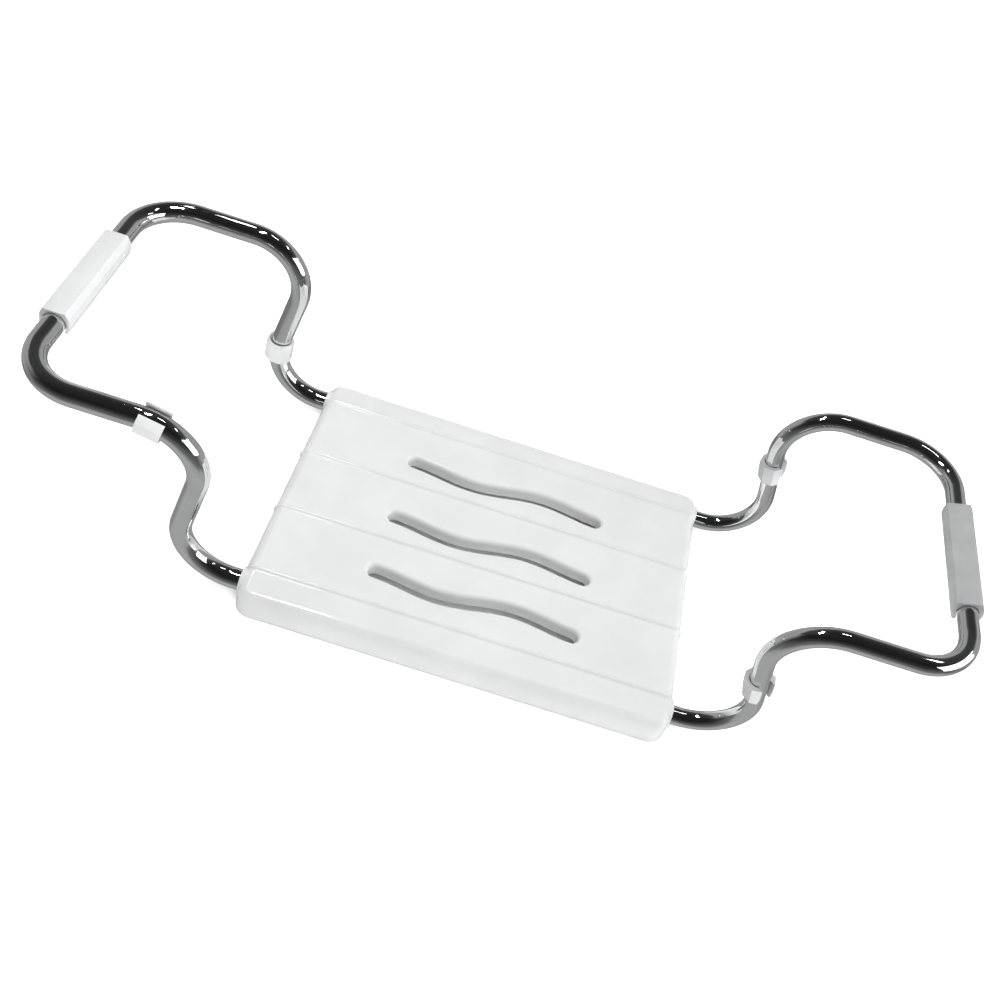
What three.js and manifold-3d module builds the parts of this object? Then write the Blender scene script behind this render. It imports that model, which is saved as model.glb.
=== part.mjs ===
// Bath board: a moulded seat that hangs inside a bath from two bent tube frames.
// The left frame is fixed under the seat. The right frame telescopes inside it.
// Millimetres. +X runs along the seat to the sliding frame, +Y away from the bather's
// near side, +Z up. The origin is under the middle of the seat, level with the lower
// edge of its skirt.

import * as THREE from 'three';
import { mergeVertices } from 'three/addons/utils/BufferGeometryUtils.js';
import Module from 'manifold-3d';

const wasm = await Module();
wasm.setup();

// Gaps between pieces that touch or slide on the real object
const fitGap = 0.3;
const cutOverrun = 2;

// Seat board, one ABS moulding
const seatLength = 372;
const seatWidth = 279;
const seatDepth = 27;
const boardWall = 2.2;
const planCornerRadius = 14;
const endRounding = 8;
const shoulderWidth = 8.5;
const shoulderOutShare = 0.76;
const shoulderDownShare = 0.18;
const skirtLip = 3;
const stripWidth = 21.75;
const stripDrop = 2.3;
const beadHeight = 1.5;
const beadWidth = 4.5;
const innerBeadSpread = 70;
const beadEndDrop = 12;

// Three wavy drain slots with a deep collar under each
const slotMiddleShares = [-0.54265, -0.08029, 0.42796];
const slotWidth = 14;
const slotLength = 174;
const slotMiddleX = 3;
const waveHeight = 4.1;
const waveLength = 126;
const waveCrestX = 36.3;
const slotRiseShare = 0.022;
const slotCollarWall = 2;
const slotCollarDepth = 12.5;

// Ribs under the seat
const ribThickness = 2;
const ribDepth = 8;
const ribTubeGap = 2;
const outerRibInset = 26;
const innerRibInset = 73;

// Tubes
const outerTubeDiameter = 18;
const outerTubeWall = 0.75;
const telescopeClearance = 0.25;
const innerTubeWall = 1.2;

// Frame route: legs under the seat, risers, upper runs and a crossbar
const legInset = 24.5;
const lowerCornerReach = 65;
const frameRise = 162;
const riserLean = 36.5;
const riserFlare = 6;
const crossbarReach = 115;
const lowerBendRadius = 46;
const upperBendRadius = 46;
const handleBendRadius = 44;

// Telescope
const mouthInset = 36;
const insertedLength = 210;
const slideOut = 80;
const slideIn = 6;

// Moulded collars where the tubes leave the seat, and the bushes of the sliding legs
const exitCollarWall = 2;
const exitCollarLength = 12;
const exitCollarProud = 1.2;
const guideBushWall = 1;

// Saddles and their screws
const leftSaddleInset = 46;
const rightSaddleSetback = 60;
const saddleLength = 16;
const saddleWall = 2.2;
const bossRadius = 3;
const screwDiameter = 3;
const screwHeadDiameter = 5.6;
const screwHeadHeight = 1.8;
const screwGrip = 7;
const screwHeadTaperShare = 0.33;

// Stop screws in the long slots of the sliding legs
const stopScrewSetback = 30;
const stopScrewDiameter = 4;
const stopScrewHeadDiameter = 7;
const stopScrewHeadHeight = 2;

// Clamp screws that lock the telescope
const clampSetback = 15;
const clampStudDiameter = 6;
const clampNutDiameter = 12;
const clampNutHeight = 8;
const clampPadThickness = 2;
const clampKnobDiameter = 16.5;
const clampKnobHeight = 11;
const clampKnobEdge = 1.4;
const clampKnobLobes = 8;
const clampKnobGrooveShare = 0.1;
const clampKnobStandOff = 0.6;
const clampKnobSocket = 8;

// Plugs in the inner ends of the sliding legs
const plugFlange = 2;
const plugDepth = 9;

// Hand grips on the crossbars
const gripLength = 110;
const gripShift = 1.5;
const gripTopWidth = 18.2;
const gripShoulderWidth = 23.2;
const gripShoulderDrop = 5.4;
const gripWidth = 24.6;
const gripWidestDrop = 1.4;
const gripLipWidth = 20.4;
const gripLipDrop = 8.2;
const gripMouth = 14;
const gripWall = 2;
const gripArchStart = -25;
const gripArchSteps = 10;
const rightGripTilt = -18;

// Rim clips
const clipLength = 20;
const clipWidth = 24;
const clipFaces = 8;
const clipBoreSlack = 1.2;
const rightClipBoreSlack = 0.5;
const clipMouth = 12.4;
const clipFootWidth = 21.2;
const clipTaper = 11;
const leftNearClipAngle = 13.6;
const leftNearClipLean = -3;
const leftFarClipAngle = 10;
const rightNearClipRise = 76.7;
const rightNearClipHeading = -48;
const rightFarClipRise = 90;
const rightFarClipHeading = -20;

// Facets
const tubeSides = 14;
const bendSteps = 8;
const roundSides = 16;
const holeSides = 10;
const screwSides = 12;
const saddleSteps = 6;
const seatSteps = 5;
const slotSteps = 14;
const slotEndSteps = 5;
const clipBoreSteps = 12;
const pointsPerLobe = 4;

// Derived sizes that several pieces share
const seatEndX = seatLength / 2;
const seatSideY = seatWidth / 2;
const slotMiddleYs = slotMiddleShares.map((share) => share * seatSideY);
const outerTubeRadius = outerTubeDiameter / 2;
const outerBoreRadius = outerTubeRadius - outerTubeWall;
const innerTubeRadius = outerBoreRadius - telescopeClearance;
const innerBoreRadius = innerTubeRadius - innerTubeWall;
const plateTop = seatDepth - beadHeight;
const creaseY = seatSideY - shoulderWidth;
const stripStartY = creaseY - stripWidth;
const creaseZ = plateTop - stripDrop;
const outerBeadY = stripStartY - beadWidth / 2;
const innerBeadY = innerBeadSpread / 2;
const legY = seatSideY - legInset;
const legDrop = stripDrop * Math.max(0, legY - stripStartY) / stripWidth;
const legZ = plateTop - legDrop - boardWall - fitGap - outerTubeRadius;
const mouthX = seatEndX - mouthInset;
const slidingLegEndX = mouthX - insertedLength;
const exitCollarRadius = outerTubeRadius + fitGap + exitCollarWall;
const bossOffset = outerTubeRadius + fitGap + saddleWall + fitGap + bossRadius;
const saddleXs = [leftSaddleInset - seatEndX, mouthX - rightSaddleSetback];
const stopScrewX = mouthX - stopScrewSetback;
const clampX = mouthX - clampSetback;
const sides = [{ name: 'near', sign: -1 }, { name: 'far', sign: 1 }];

// Finishes
const whiteAbs = { color: 0xf1f2f3, roughness: 0.28, metalness: 0 };
const whiteNylon = { color: 0xe9eaea, roughness: 0.4, metalness: 0 };
const chromeSteel = { color: 0xc9ccd0, roughness: 0.08, metalness: 1 };
const zincSteel = { color: 0xb4b7ba, roughness: 0.35, metalness: 1 };
const greyPlastic = { color: 0x8b9096, roughness: 0.5, metalness: 0 };
const brassMetal = { color: 0xc8a455, roughness: 0.3, metalness: 1 };

const bathBoard = new THREE.Group();

function addMesh(name, geometry, finish) {
  const mesh = new THREE.Mesh(geometry, new THREE.MeshStandardMaterial(finish));
  mesh.name = name;
  bathBoard.add(mesh);
  return mesh;
}

// A copy with shared corners, no sliver faces and its faces turned outwards
function closedGeometry(geometry) {
  const bare = geometry.index ? geometry.toNonIndexed() : geometry.clone();
  for (const name of Object.keys(bare.attributes)) {
    if (name !== 'position') bare.deleteAttribute(name);
  }
  const merged = mergeVertices(bare);
  const from = merged.index.array;
  const kept = [];
  for (let i = 0; i < from.length; i += 3) {
    const [a, b, c] = [from[i], from[i + 1], from[i + 2]];
    if (a !== b && b !== c && c !== a) kept.push(a, b, c);
  }
  if (signedVolume(merged, kept) < 0) kept.reverse();
  merged.setIndex(kept);
  return merged;
}

function signedVolume(geometry, faces) {
  const place = geometry.getAttribute('position');
  const corner = [new THREE.Vector3(), new THREE.Vector3(), new THREE.Vector3()];
  let total = 0;
  for (let i = 0; i < faces.length; i += 3) {
    corner.forEach((point, k) => point.fromBufferAttribute(place, faces[i + k]));
    total += corner[0].dot(corner[1].cross(corner[2]));
  }
  return total;
}

function toSolid(geometry) {
  const closed = closedGeometry(geometry);
  return new wasm.Manifold(new wasm.Mesh({
    numProp: 3,
    vertProperties: new Float32Array(closed.getAttribute('position').array),
    triVerts: new Uint32Array(closed.index.array),
  }));
}

function toGeometry(solid) {
  const mesh = solid.getMesh();
  const geometry = new THREE.BufferGeometry();
  geometry.setAttribute('position', new THREE.BufferAttribute(mesh.vertProperties, 3));
  geometry.setIndex(new THREE.BufferAttribute(mesh.triVerts, 1));
  return geometry;
}

// Basic solids, each in its final place
function blockSolid(low, high) {
  const size = high.map((value, i) => value - low[i]);
  const middle = high.map((value, i) => (value + low[i]) / 2);
  return toSolid(new THREE.BoxGeometry(...size).translate(...middle));
}

// A round bar whose axis runs along x, y or z from one end to the other
function barGeometry(axis, radius, from, to, place, sidesOfBar = roundSides) {
  const bar = new THREE.CylinderGeometry(radius, radius, to - from, sidesOfBar);
  bar.rotateY(Math.PI / sidesOfBar);
  const middle = (from + to) / 2;
  if (axis === 'x') bar.rotateZ(-Math.PI / 2).translate(middle, ...place);
  if (axis === 'y') bar.translate(place[0], middle, place[1]);
  if (axis === 'z') bar.rotateX(Math.PI / 2).translate(...place, middle);
  return bar;
}

function barSolid(...sizes) {
  return toSolid(barGeometry(...sizes));
}

function polygonShape(points) {
  return new THREE.Shape(points.map(([x, y]) => new THREE.Vector2(x, y)));
}

// A section drawn in Y and Z, run along X
function runAlongX(shape, fromX, toX, curveSegments) {
  const run = new THREE.ExtrudeGeometry(shape, { depth: toX - fromX, bevelEnabled: false, curveSegments });
  return run.rotateX(Math.PI / 2).rotateZ(Math.PI / 2).translate(fromX, 0, 0);
}

// A section drawn in X and Z, run along Y
function runAlongY(shape, fromY, toY, curveSegments) {
  const run = new THREE.ExtrudeGeometry(shape, { depth: toY - fromY, bevelEnabled: false, curveSegments });
  return run.rotateX(Math.PI / 2).translate(0, toY, 0);
}

// A plan outline drawn in X and Y, run up Z
function runAlongZ(shape, fromZ, toZ, curveSegments) {
  const run = new THREE.ExtrudeGeometry(shape, { depth: toZ - fromZ, bevelEnabled: false, curveSegments });
  return run.translate(0, 0, fromZ);
}

// Seat board: cross section with level plate, sloping side strips and turned-down skirt
function seatCrossSection(inset, bottom) {
  const side = seatSideY - inset;
  const edge = creaseY - inset * shoulderOutShare;
  const shoulder = side - edge;
  const edgeTop = creaseZ - inset;
  const shape = new THREE.Shape();
  shape.moveTo(-side, bottom);
  shape.lineTo(-side, skirtLip);
  const bulgeY = edge + shoulder * shoulderOutShare;
  const bulgeZ = edgeTop - (edgeTop - skirtLip) * shoulderDownShare;
  shape.quadraticCurveTo(-bulgeY, bulgeZ, -edge, edgeTop);
  shape.lineTo(-stripStartY, plateTop - inset);
  shape.lineTo(stripStartY, plateTop - inset);
  shape.lineTo(edge, edgeTop);
  shape.quadraticCurveTo(bulgeY, bulgeZ, side, skirtLip);
  shape.lineTo(side, bottom);
  return shape;
}

// Seat board: lengthwise outline with rounded end edges
function seatLengthSection(inset, bottom) {
  const end = seatEndX - inset;
  const top = plateTop - inset;
  const radius = Math.max(endRounding - inset, fitGap);
  const shape = new THREE.Shape();
  shape.moveTo(-end, bottom);
  shape.lineTo(-end, top - radius);
  shape.absarc(-end + radius, top - radius, radius, Math.PI, Math.PI / 2, true);
  shape.absarc(end - radius, top - radius, radius, Math.PI / 2, 0, true);
  shape.lineTo(end, bottom);
  return shape;
}

function seatPlan(inset) {
  const end = seatEndX - inset;
  const side = seatSideY - inset;
  const radius = planCornerRadius - inset;
  const shape = new THREE.Shape();
  shape.absarc(end - radius, side - radius, radius, 0, Math.PI / 2, false);
  shape.absarc(-end + radius, side - radius, radius, Math.PI / 2, Math.PI, false);
  shape.absarc(-end + radius, -side + radius, radius, Math.PI, Math.PI * 3 / 2, false);
  shape.absarc(end - radius, -side + radius, radius, Math.PI * 3 / 2, Math.PI * 2, false);
  return shape;
}

function seatLoaf(inset, bottom) {
  const reach = seatEndX + cutOverrun;
  const breadth = seatSideY + cutOverrun;
  const across = toSolid(runAlongX(seatCrossSection(inset, bottom), -reach, reach, seatSteps));
  const along = toSolid(runAlongY(seatLengthSection(inset, bottom), -breadth, breadth, seatSteps));
  const plan = toSolid(runAlongZ(seatPlan(inset), bottom, seatDepth, seatSteps));
  return across.intersect(along).intersect(plan);
}

// A raised bead that runs over both rounded ends of the plate
function seatBead(y) {
  const flat = Math.max(beadWidth - 2 * beadHeight, fitGap);
  const strip = new THREE.ExtrudeGeometry(seatLengthSection(0, plateTop - beadEndDrop), {
    depth: flat,
    bevelThickness: beadHeight,
    bevelSize: beadHeight,
    bevelSegments: 2,
    curveSegments: seatSteps,
  });
  return toSolid(strip.rotateX(Math.PI / 2).translate(0, y + flat / 2, 0));
}

// Outline of a wavy drain slot, grown by a margin all round
function slotOutline(middleY, margin) {
  const half = slotWidth / 2 + margin;
  const startX = slotMiddleX - slotLength / 2;
  const turn = Math.PI * 2 / waveLength;
  const centreY = x => {
    const wave = waveHeight * Math.cos(turn * (x - waveCrestX));
    return middleY + wave + slotRiseShare * (x - slotMiddleX);
  };
  const slope = x => slotRiseShare - waveHeight * turn * Math.sin(turn * (x - waveCrestX));
  const edgePoint = (x, angle) => {
    const heading = Math.atan(slope(x)) + angle;
    return [x + half * Math.cos(heading), centreY(x) + half * Math.sin(heading)];
  };
  const points = [];
  for (let i = 0; i <= slotSteps; i++) {
    points.push(edgePoint(startX + slotLength * i / slotSteps, -Math.PI / 2));
  }
  for (let i = 1; i < slotEndSteps; i++) {
    points.push(edgePoint(startX + slotLength, Math.PI * (i / slotEndSteps - 1 / 2)));
  }
  for (let i = slotSteps; i >= 0; i--) {
    points.push(edgePoint(startX + slotLength * i / slotSteps, Math.PI / 2));
  }
  for (let i = 1; i < slotEndSteps; i++) {
    points.push(edgePoint(startX, Math.PI * (i / slotEndSteps + 1 / 2)));
  }
  return polygonShape(points);
}

function buildSeatBoard() {
  const plateUnder = plateTop - boardWall;
  let board = seatLoaf(0, 0);
  for (const y of [-outerBeadY, -innerBeadY, innerBeadY, outerBeadY]) board = board.add(seatBead(y));
  board = board.subtract(seatLoaf(boardWall, -cutOverrun));

  const bulk = seatLoaf(boardWall / 2, 0);
  const ribLow = plateUnder - ribDepth;
  const ribHigh = plateUnder + boardWall / 2;
  const crossRibY = legY - outerTubeRadius - ribTubeGap;
  for (const y of [-innerBeadY, innerBeadY]) {
    const low = [-seatEndX, y - ribThickness / 2, ribLow];
    const high = [seatEndX, y + ribThickness / 2, ribHigh];
    board = board.add(blockSolid(low, high).intersect(bulk));
  }
  for (const inset of [outerRibInset, innerRibInset]) {
    for (const sign of [-1, 1]) {
      const x = sign * (seatEndX - inset);
      const low = [x - ribThickness / 2, -crossRibY, ribLow];
      const high = [x + ribThickness / 2, crossRibY, ribHigh];
      board = board.add(blockSolid(low, high).intersect(bulk));
    }
  }
  for (const y of slotMiddleYs) {
    const collar = runAlongZ(slotOutline(y, slotCollarWall), plateTop - slotCollarDepth, ribHigh, 1);
    board = board.add(toSolid(collar));
  }
  for (const y of slotMiddleYs) {
    const opening = runAlongZ(slotOutline(y, 0), -cutOverrun, seatDepth + cutOverrun, 1);
    board = board.subtract(toSolid(opening));
  }

  for (const { sign } of sides) {
    const y = sign * legY;
    for (const x of saddleXs) {
      for (const across of [-bossOffset, bossOffset]) {
        const place = [x, y + across];
        const top = plateTop - legDrop - boardWall / 2;
        const boss = barSolid('z', bossRadius, legZ + fitGap, top, place, holeSides);
        const pilotTop = legZ + screwGrip + fitGap;
        const pilot = barSolid('z', screwDiameter / 2 + fitGap, 0, pilotTop, place, holeSides);
        board = board.add(boss.intersect(bulk)).subtract(pilot);
      }
    }
    for (const end of [-1, 1]) {
      const outside = seatEndX + exitCollarProud;
      const inside = seatEndX - exitCollarLength;
      const span = end < 0 ? [-outside, -inside] : [inside, outside];
      const bore = outerTubeRadius + fitGap + (end < 0 ? 0 : fitGap);
      const collar = barSolid('x', exitCollarRadius, ...span, [y, legZ]);
      const hole = barSolid('x', bore, span[0] - cutOverrun, span[1] + cutOverrun, [y, legZ]);
      board = board.add(collar).subtract(hole);
    }
  }
  addMesh('seat_board', toGeometry(board), whiteAbs);
}

// A bent route: straight runs joined by round bends
class BentRoute extends THREE.Curve {
  constructor(corners, radii) {
    super();
    this.bends = [];
    this.stations = [];
    for (let i = 1; i < corners.length - 1; i++) {
      this.bends.push(bendAt(corners[i - 1], corners[i], corners[i + 1], radii[i - 1]));
    }
    const first = corners[0];
    const last = corners[corners.length - 1];
    this.stations.push({ point: first, tangent: this.bends[0].before });
    for (const bend of this.bends) {
      for (let k = 0; k <= bendSteps; k++) this.stations.push(bendStation(bend, bend.turn * k / bendSteps));
    }
    this.stations.push({ point: last, tangent: this.bends[this.bends.length - 1].after });
  }

  getPoint(t) {
    const place = t * (this.stations.length - 1);
    const index = Math.min(Math.floor(place), this.stations.length - 2);
    return this.stations[index].point.clone().lerp(this.stations[index + 1].point, place - index);
  }

  getPointAt(u) {
    return this.getPoint(u);
  }

  getTangentAt(u) {
    return this.stations[Math.round(u * (this.stations.length - 1))].tangent.clone();
  }
}

function bendAt(from, corner, to, radius) {
  const before = corner.clone().sub(from).normalize();
  const after = to.clone().sub(corner).normalize();
  const turn = before.angleTo(after);
  const setback = radius * Math.tan(turn / 2);
  const entry = corner.clone().addScaledVector(before, -setback);
  const inward = after.clone().addScaledVector(before, -Math.cos(turn)).normalize();
  const centre = entry.clone().addScaledVector(inward, radius);
  return { before, after, inward, centre, turn, radius };
}

function bendStation(bend, angle) {
  const point = bend.centre.clone()
    .addScaledVector(bend.inward, -bend.radius * Math.cos(angle))
    .addScaledVector(bend.before, bend.radius * Math.sin(angle));
  const tangent = bend.before.clone().multiplyScalar(Math.cos(angle))
    .addScaledVector(bend.inward, Math.sin(angle)).normalize();
  return { point, tangent };
}

// Corner points of one frame, from the near leg round the crossbar to the far leg
const lowerCornerX = seatEndX + lowerCornerReach;
const upperCornerX = lowerCornerX - riserLean;
const crossbarX = lowerCornerX + crossbarReach;
const runY = legY + riserFlare;
const runZ = legZ + frameRise;

function frameRoute(sideSign, legEndX) {
  const half = [
    [legEndX, legY, legZ],
    [sideSign * lowerCornerX, legY, legZ],
    [sideSign * upperCornerX, runY, runZ],
    [sideSign * crossbarX, runY, runZ],
  ];
  const near = half.map(([x, y, z]) => new THREE.Vector3(x, -y, z));
  const far = half.map(([x, y, z]) => new THREE.Vector3(x, y, z)).reverse();
  const radii = [lowerBendRadius, upperBendRadius, handleBendRadius];
  return new BentRoute([...near, ...far], [...radii, ...radii.slice().reverse()]);
}

function ringShape(outerRadius, innerRadius) {
  const circle = radius => Array.from({ length: tubeSides }, (_, i) => {
    const angle = Math.PI * 2 * (i + 1 / 2) / tubeSides;
    return new THREE.Vector2(radius * Math.cos(angle), radius * Math.sin(angle));
  });
  const shape = new THREE.Shape(circle(outerRadius));
  shape.holes.push(new THREE.Path(circle(innerRadius).reverse()));
  return shape;
}

function tubeSolid(route, outerRadius, innerRadius) {
  return toSolid(new THREE.ExtrudeGeometry(ringShape(outerRadius, innerRadius), {
    steps: route.stations.length - 1,
    extrudePath: route,
  }));
}

const leftRoute = frameRoute(-1, mouthX);
const rightRoute = frameRoute(1, slidingLegEndX);

// Left frame: the outer tube, with holes for the clamp screws and stop screws
function buildLeftFrame() {
  let tube = tubeSolid(leftRoute, outerTubeRadius, outerBoreRadius);
  const clampHole = clampStudDiameter / 2 + fitGap;
  const stopHole = stopScrewDiameter / 2 + fitGap;
  for (const { sign } of sides) {
    const span = [sign * legY, sign * (legY - outerTubeDiameter)].sort((a, b) => a - b);
    tube = tube.subtract(barSolid('y', clampHole, ...span, [clampX, legZ], holeSides));
    const stopPlace = [stopScrewX, sign * legY];
    tube = tube.subtract(barSolid('z', stopHole, legZ - outerTubeDiameter, legZ, stopPlace, holeSides));
  }
  addMesh('left_frame_tube', toGeometry(tube), chromeSteel);
}

// Right frame: the inner tube, with a long slot under each leg for its stop screw
function buildRightFrame() {
  let tube = tubeSolid(rightRoute, innerTubeRadius, innerBoreRadius);
  const half = stopScrewDiameter / 2 + fitGap;
  for (const { sign } of sides) {
    const y = sign * legY;
    const low = [stopScrewX - slideOut - half, y - half, legZ - outerTubeDiameter];
    const high = [stopScrewX + slideIn + half, y + half, legZ];
    tube = tube.subtract(blockSolid(low, high));
  }
  addMesh('right_frame_tube', toGeometry(tube), chromeSteel);
}

// Plug in the inner end of each sliding leg: a flange and a plain spigot
function buildLegPlugs() {
  for (const { name, sign } of sides) {
    const flangeEnd = slidingLegEndX - fitGap;
    const profile = [
      [0, -plugFlange],
      [innerTubeRadius - fitGap, -plugFlange],
      [innerTubeRadius - fitGap, 0],
      [innerBoreRadius - fitGap, 0],
      [innerBoreRadius - fitGap, plugDepth],
      [0, plugDepth],
    ].map(([x, y]) => new THREE.Vector2(x, y));
    const plug = new THREE.LatheGeometry(profile, roundSides).rotateZ(-Math.PI / 2);
    plug.translate(flangeEnd, sign * legY, legZ);
    addMesh(`${name}_leg_plug`, closedGeometry(plug), greyPlastic);
  }
}

// Sleeve in the right-hand collars that centres each sliding leg
function buildGuideBushes() {
  const bushOuter = outerTubeRadius + fitGap;
  const span = [seatEndX - exitCollarLength, seatEndX + exitCollarProud];
  for (const { name, sign } of sides) {
    const place = [sign * legY, legZ];
    const sleeve = barSolid('x', bushOuter, ...span, place);
    const bore = barSolid('x', bushOuter - guideBushWall, span[0] - cutOverrun, span[1] + cutOverrun, place);
    addMesh(`${name}_guide_bush`, toGeometry(sleeve.subtract(bore)), whiteNylon);
  }
}

// Saddles: straps under the outer tube, screwed up into bosses of the seat
function saddleShape() {
  const inner = outerTubeRadius + fitGap;
  const outer = inner + saddleWall;
  const flange = bossOffset + bossRadius;
  const shape = new THREE.Shape();
  shape.moveTo(flange, 0);
  shape.lineTo(inner, 0);
  shape.absarc(0, 0, inner, 0, Math.PI, true);
  shape.lineTo(-flange, 0);
  shape.lineTo(-flange, -saddleWall);
  shape.lineTo(-outer, -saddleWall);
  shape.absarc(0, 0, outer, Math.PI + Math.asin(saddleWall / outer), -Math.asin(saddleWall / outer), false);
  shape.lineTo(flange, -saddleWall);
  return shape;
}

function screwGeometry(diameter, grip, headDiameter, headHeight) {
  const profile = [
    [0, -headHeight],
    [headDiameter / 2 - headHeight * screwHeadTaperShare, -headHeight],
    [headDiameter / 2, -headHeight / 2],
    [headDiameter / 2, 0],
    [diameter / 2, 0],
    [diameter / 2, grip - diameter / 2],
    [0, grip],
  ].map(([x, y]) => new THREE.Vector2(x, y));
  return closedGeometry(new THREE.LatheGeometry(profile, screwSides).rotateX(Math.PI / 2));
}

function buildSaddles() {
  const hole = screwDiameter / 2 + fitGap;
  for (const { name, sign } of sides) {
    saddleXs.forEach((x, i) => {
      const end = ['left', 'right'][i];
      const y = sign * legY;
      const strap = runAlongX(saddleShape(), x - saddleLength / 2, x + saddleLength / 2, saddleSteps);
      let saddle = toSolid(strap.translate(0, y, legZ));
      [-bossOffset, bossOffset].forEach((across, k) => {
        saddle = saddle.subtract(barSolid('z', hole, 0, seatDepth, [x, y + across], holeSides));
        const grip = screwGrip + saddleWall;
        const screw = screwGeometry(screwDiameter, grip, screwHeadDiameter, screwHeadHeight);
        screw.translate(x, y + across, legZ - saddleWall - fitGap);
        addMesh(`${name}_${end}_saddle_screw_${k + 1}`, screw, zincSteel);
      });
      addMesh(`${name}_${end}_saddle`, toGeometry(saddle), whiteNylon);
    });
  }
}

// Stop screws: each holds one sliding leg from turning and from pulling out
function buildStopScrews() {
  for (const { name, sign } of sides) {
    const grip = outerTubeWall + innerTubeWall + telescopeClearance + stopScrewDiameter;
    const screw = screwGeometry(stopScrewDiameter, grip, stopScrewHeadDiameter, stopScrewHeadHeight);
    screw.translate(stopScrewX, sign * legY, legZ - outerTubeRadius - fitGap);
    addMesh(`${name}_stop_screw`, screw, zincSteel);
  }
}

// Clamp screws: a nut welded to the outer tube, a stud with a pad on its tip and a lobed knob
function knobShape() {
  const radius = clampKnobDiameter / 2;
  const count = clampKnobLobes * pointsPerLobe;
  const points = Array.from({ length: count }, (_, i) => {
    const angle = Math.PI * 2 * i / count;
    const reach = radius * (1 - clampKnobGrooveShare / 2 * (1 - Math.cos(clampKnobLobes * angle)));
    return [reach * Math.cos(angle), reach * Math.sin(angle)];
  });
  return polygonShape(points);
}

function buildClamps() {
  const stud = clampStudDiameter / 2;
  const tubeFace = legY - outerTubeRadius;
  const padOuter = legY - innerTubeRadius - fitGap;
  const padInner = padOuter - clampPadThickness;
  const studTip = padInner - fitGap;
  const nutInner = tubeFace - clampNutHeight;
  const knobFace = nutInner - clampKnobStandOff;
  const knobBack = knobFace - clampKnobHeight;
  const studEnd = knobFace - clampKnobSocket;
  const place = [clampX, legZ];
  for (const { name, sign } of sides) {
    const span = (inner, outer) => [sign * inner, sign * outer].sort((a, b) => a - b);
    const saddleCut = [clampX - clampNutDiameter, clampX + clampNutDiameter];
    const hug = barSolid('x', outerTubeRadius + fitGap, ...saddleCut, [sign * legY, legZ]);
    const nut = barSolid('y', clampNutDiameter / 2, ...span(nutInner, tubeFace + stud), place)
      .subtract(barSolid('y', stud + fitGap, ...span(knobBack, legY), place))
      .subtract(hug);
    addMesh(`${name}_clamp_nut`, toGeometry(nut), chromeSteel);

    const padRadius = stud - fitGap;
    const pad = barGeometry('y', padRadius, ...span(padInner, padOuter), place);
    addMesh(`${name}_clamp_pad`, closedGeometry(pad), brassMetal);
    const rod = barGeometry('y', stud, ...span(studEnd, studTip), place);
    addMesh(`${name}_clamp_stud`, closedGeometry(rod), zincSteel);

    const head = new THREE.ExtrudeGeometry(knobShape(), {
      depth: clampKnobHeight - 2 * clampKnobEdge,
      bevelThickness: clampKnobEdge,
      bevelSize: clampKnobEdge,
      bevelOffset: -clampKnobEdge,
      bevelSegments: 1,
    }).rotateX(-Math.PI / 2 * sign).translate(clampX, sign * (knobBack + clampKnobEdge), legZ);
    const socket = barSolid('y', stud + fitGap, ...span(studEnd - fitGap, legY), place);
    addMesh(`${name}_clamp_knob`, toGeometry(toSolid(head).subtract(socket)), greyPlastic);
  }
}

// Hand grips: stiff channels that snap down over the crossbars
function gripSection(tubeRadius) {
  const top = tubeRadius + fitGap + gripWall;
  const outer = [
    [gripMouth / 2, -gripLipDrop],
    [gripLipWidth / 2, -gripLipDrop],
    [gripWidth / 2, -gripWidestDrop],
    [gripShoulderWidth / 2, top - gripShoulderDrop],
    [gripTopWidth / 2, top],
  ];
  const mirrored = outer.map(([x, z]) => [-x, z]).reverse();
  const start = THREE.MathUtils.degToRad(gripArchStart);
  const step = (Math.PI - 2 * start) / gripArchSteps;
  const archRadius = (tubeRadius + fitGap) / Math.cos(step / 2);
  const arch = [];
  for (let i = gripArchSteps; i >= 0; i--) {
    const angle = start + step * i;
    arch.push([archRadius * Math.cos(angle), archRadius * Math.sin(angle)]);
  }
  return polygonShape([...outer, ...mirrored, ...arch]);
}

function buildGrips() {
  const grips = [['left_grip', -1, outerTubeRadius, 0], ['right_grip', 1, innerTubeRadius, rightGripTilt]];
  for (const [name, sideSign, tubeRadius, tilt] of grips) {
    const grip = runAlongY(gripSection(tubeRadius), -gripLength / 2, gripLength / 2, 1);
    const mesh = addMesh(name, closedGeometry(grip), whiteAbs);
    mesh.rotation.y = THREE.MathUtils.degToRad(tilt);
    mesh.position.set(sideSign * crossbarX, -gripShift, runZ);
  }
}

// Rim clips: open eight-sided clips that pad the frames where they meet the bath
function clipSection(bore) {
  const face = clipWidth / 2;
  const corner = face * Math.tan(Math.PI / clipFaces);
  const mouth = clipMouth / 2;
  const opening = Math.asin(mouth / bore);
  const step = (Math.PI - opening) * 2 / clipBoreSteps;
  const arcRadius = bore / Math.cos(step / 2);
  const outer = [
    [bore * Math.cos(opening), mouth],
    [face + corner - mouth, mouth],
    [corner, face],
    [-corner, face],
    [-face, corner],
  ];
  const mirrored = outer.map(([x, y]) => [x, -y]).reverse();
  const arc = [];
  for (let i = 1; i < clipBoreSteps; i++) {
    const angle = -opening - step * i;
    arc.push([arcRadius * Math.cos(angle), arcRadius * Math.sin(angle)]);
  }
  return polygonShape([...outer, ...mirrored, ...arc]);
}

// Stands a clip on a route, its mouth turned towards a direction
function placeClip(mesh, centre, tangent, mouthDirection) {
  const mouth = mouthDirection.clone().addScaledVector(tangent, -mouthDirection.dot(tangent)).normalize();
  const across = tangent.clone().cross(mouth);
  mesh.quaternion.setFromRotationMatrix(new THREE.Matrix4().makeBasis(mouth, across, tangent));
  mesh.position.copy(centre);
}

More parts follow.
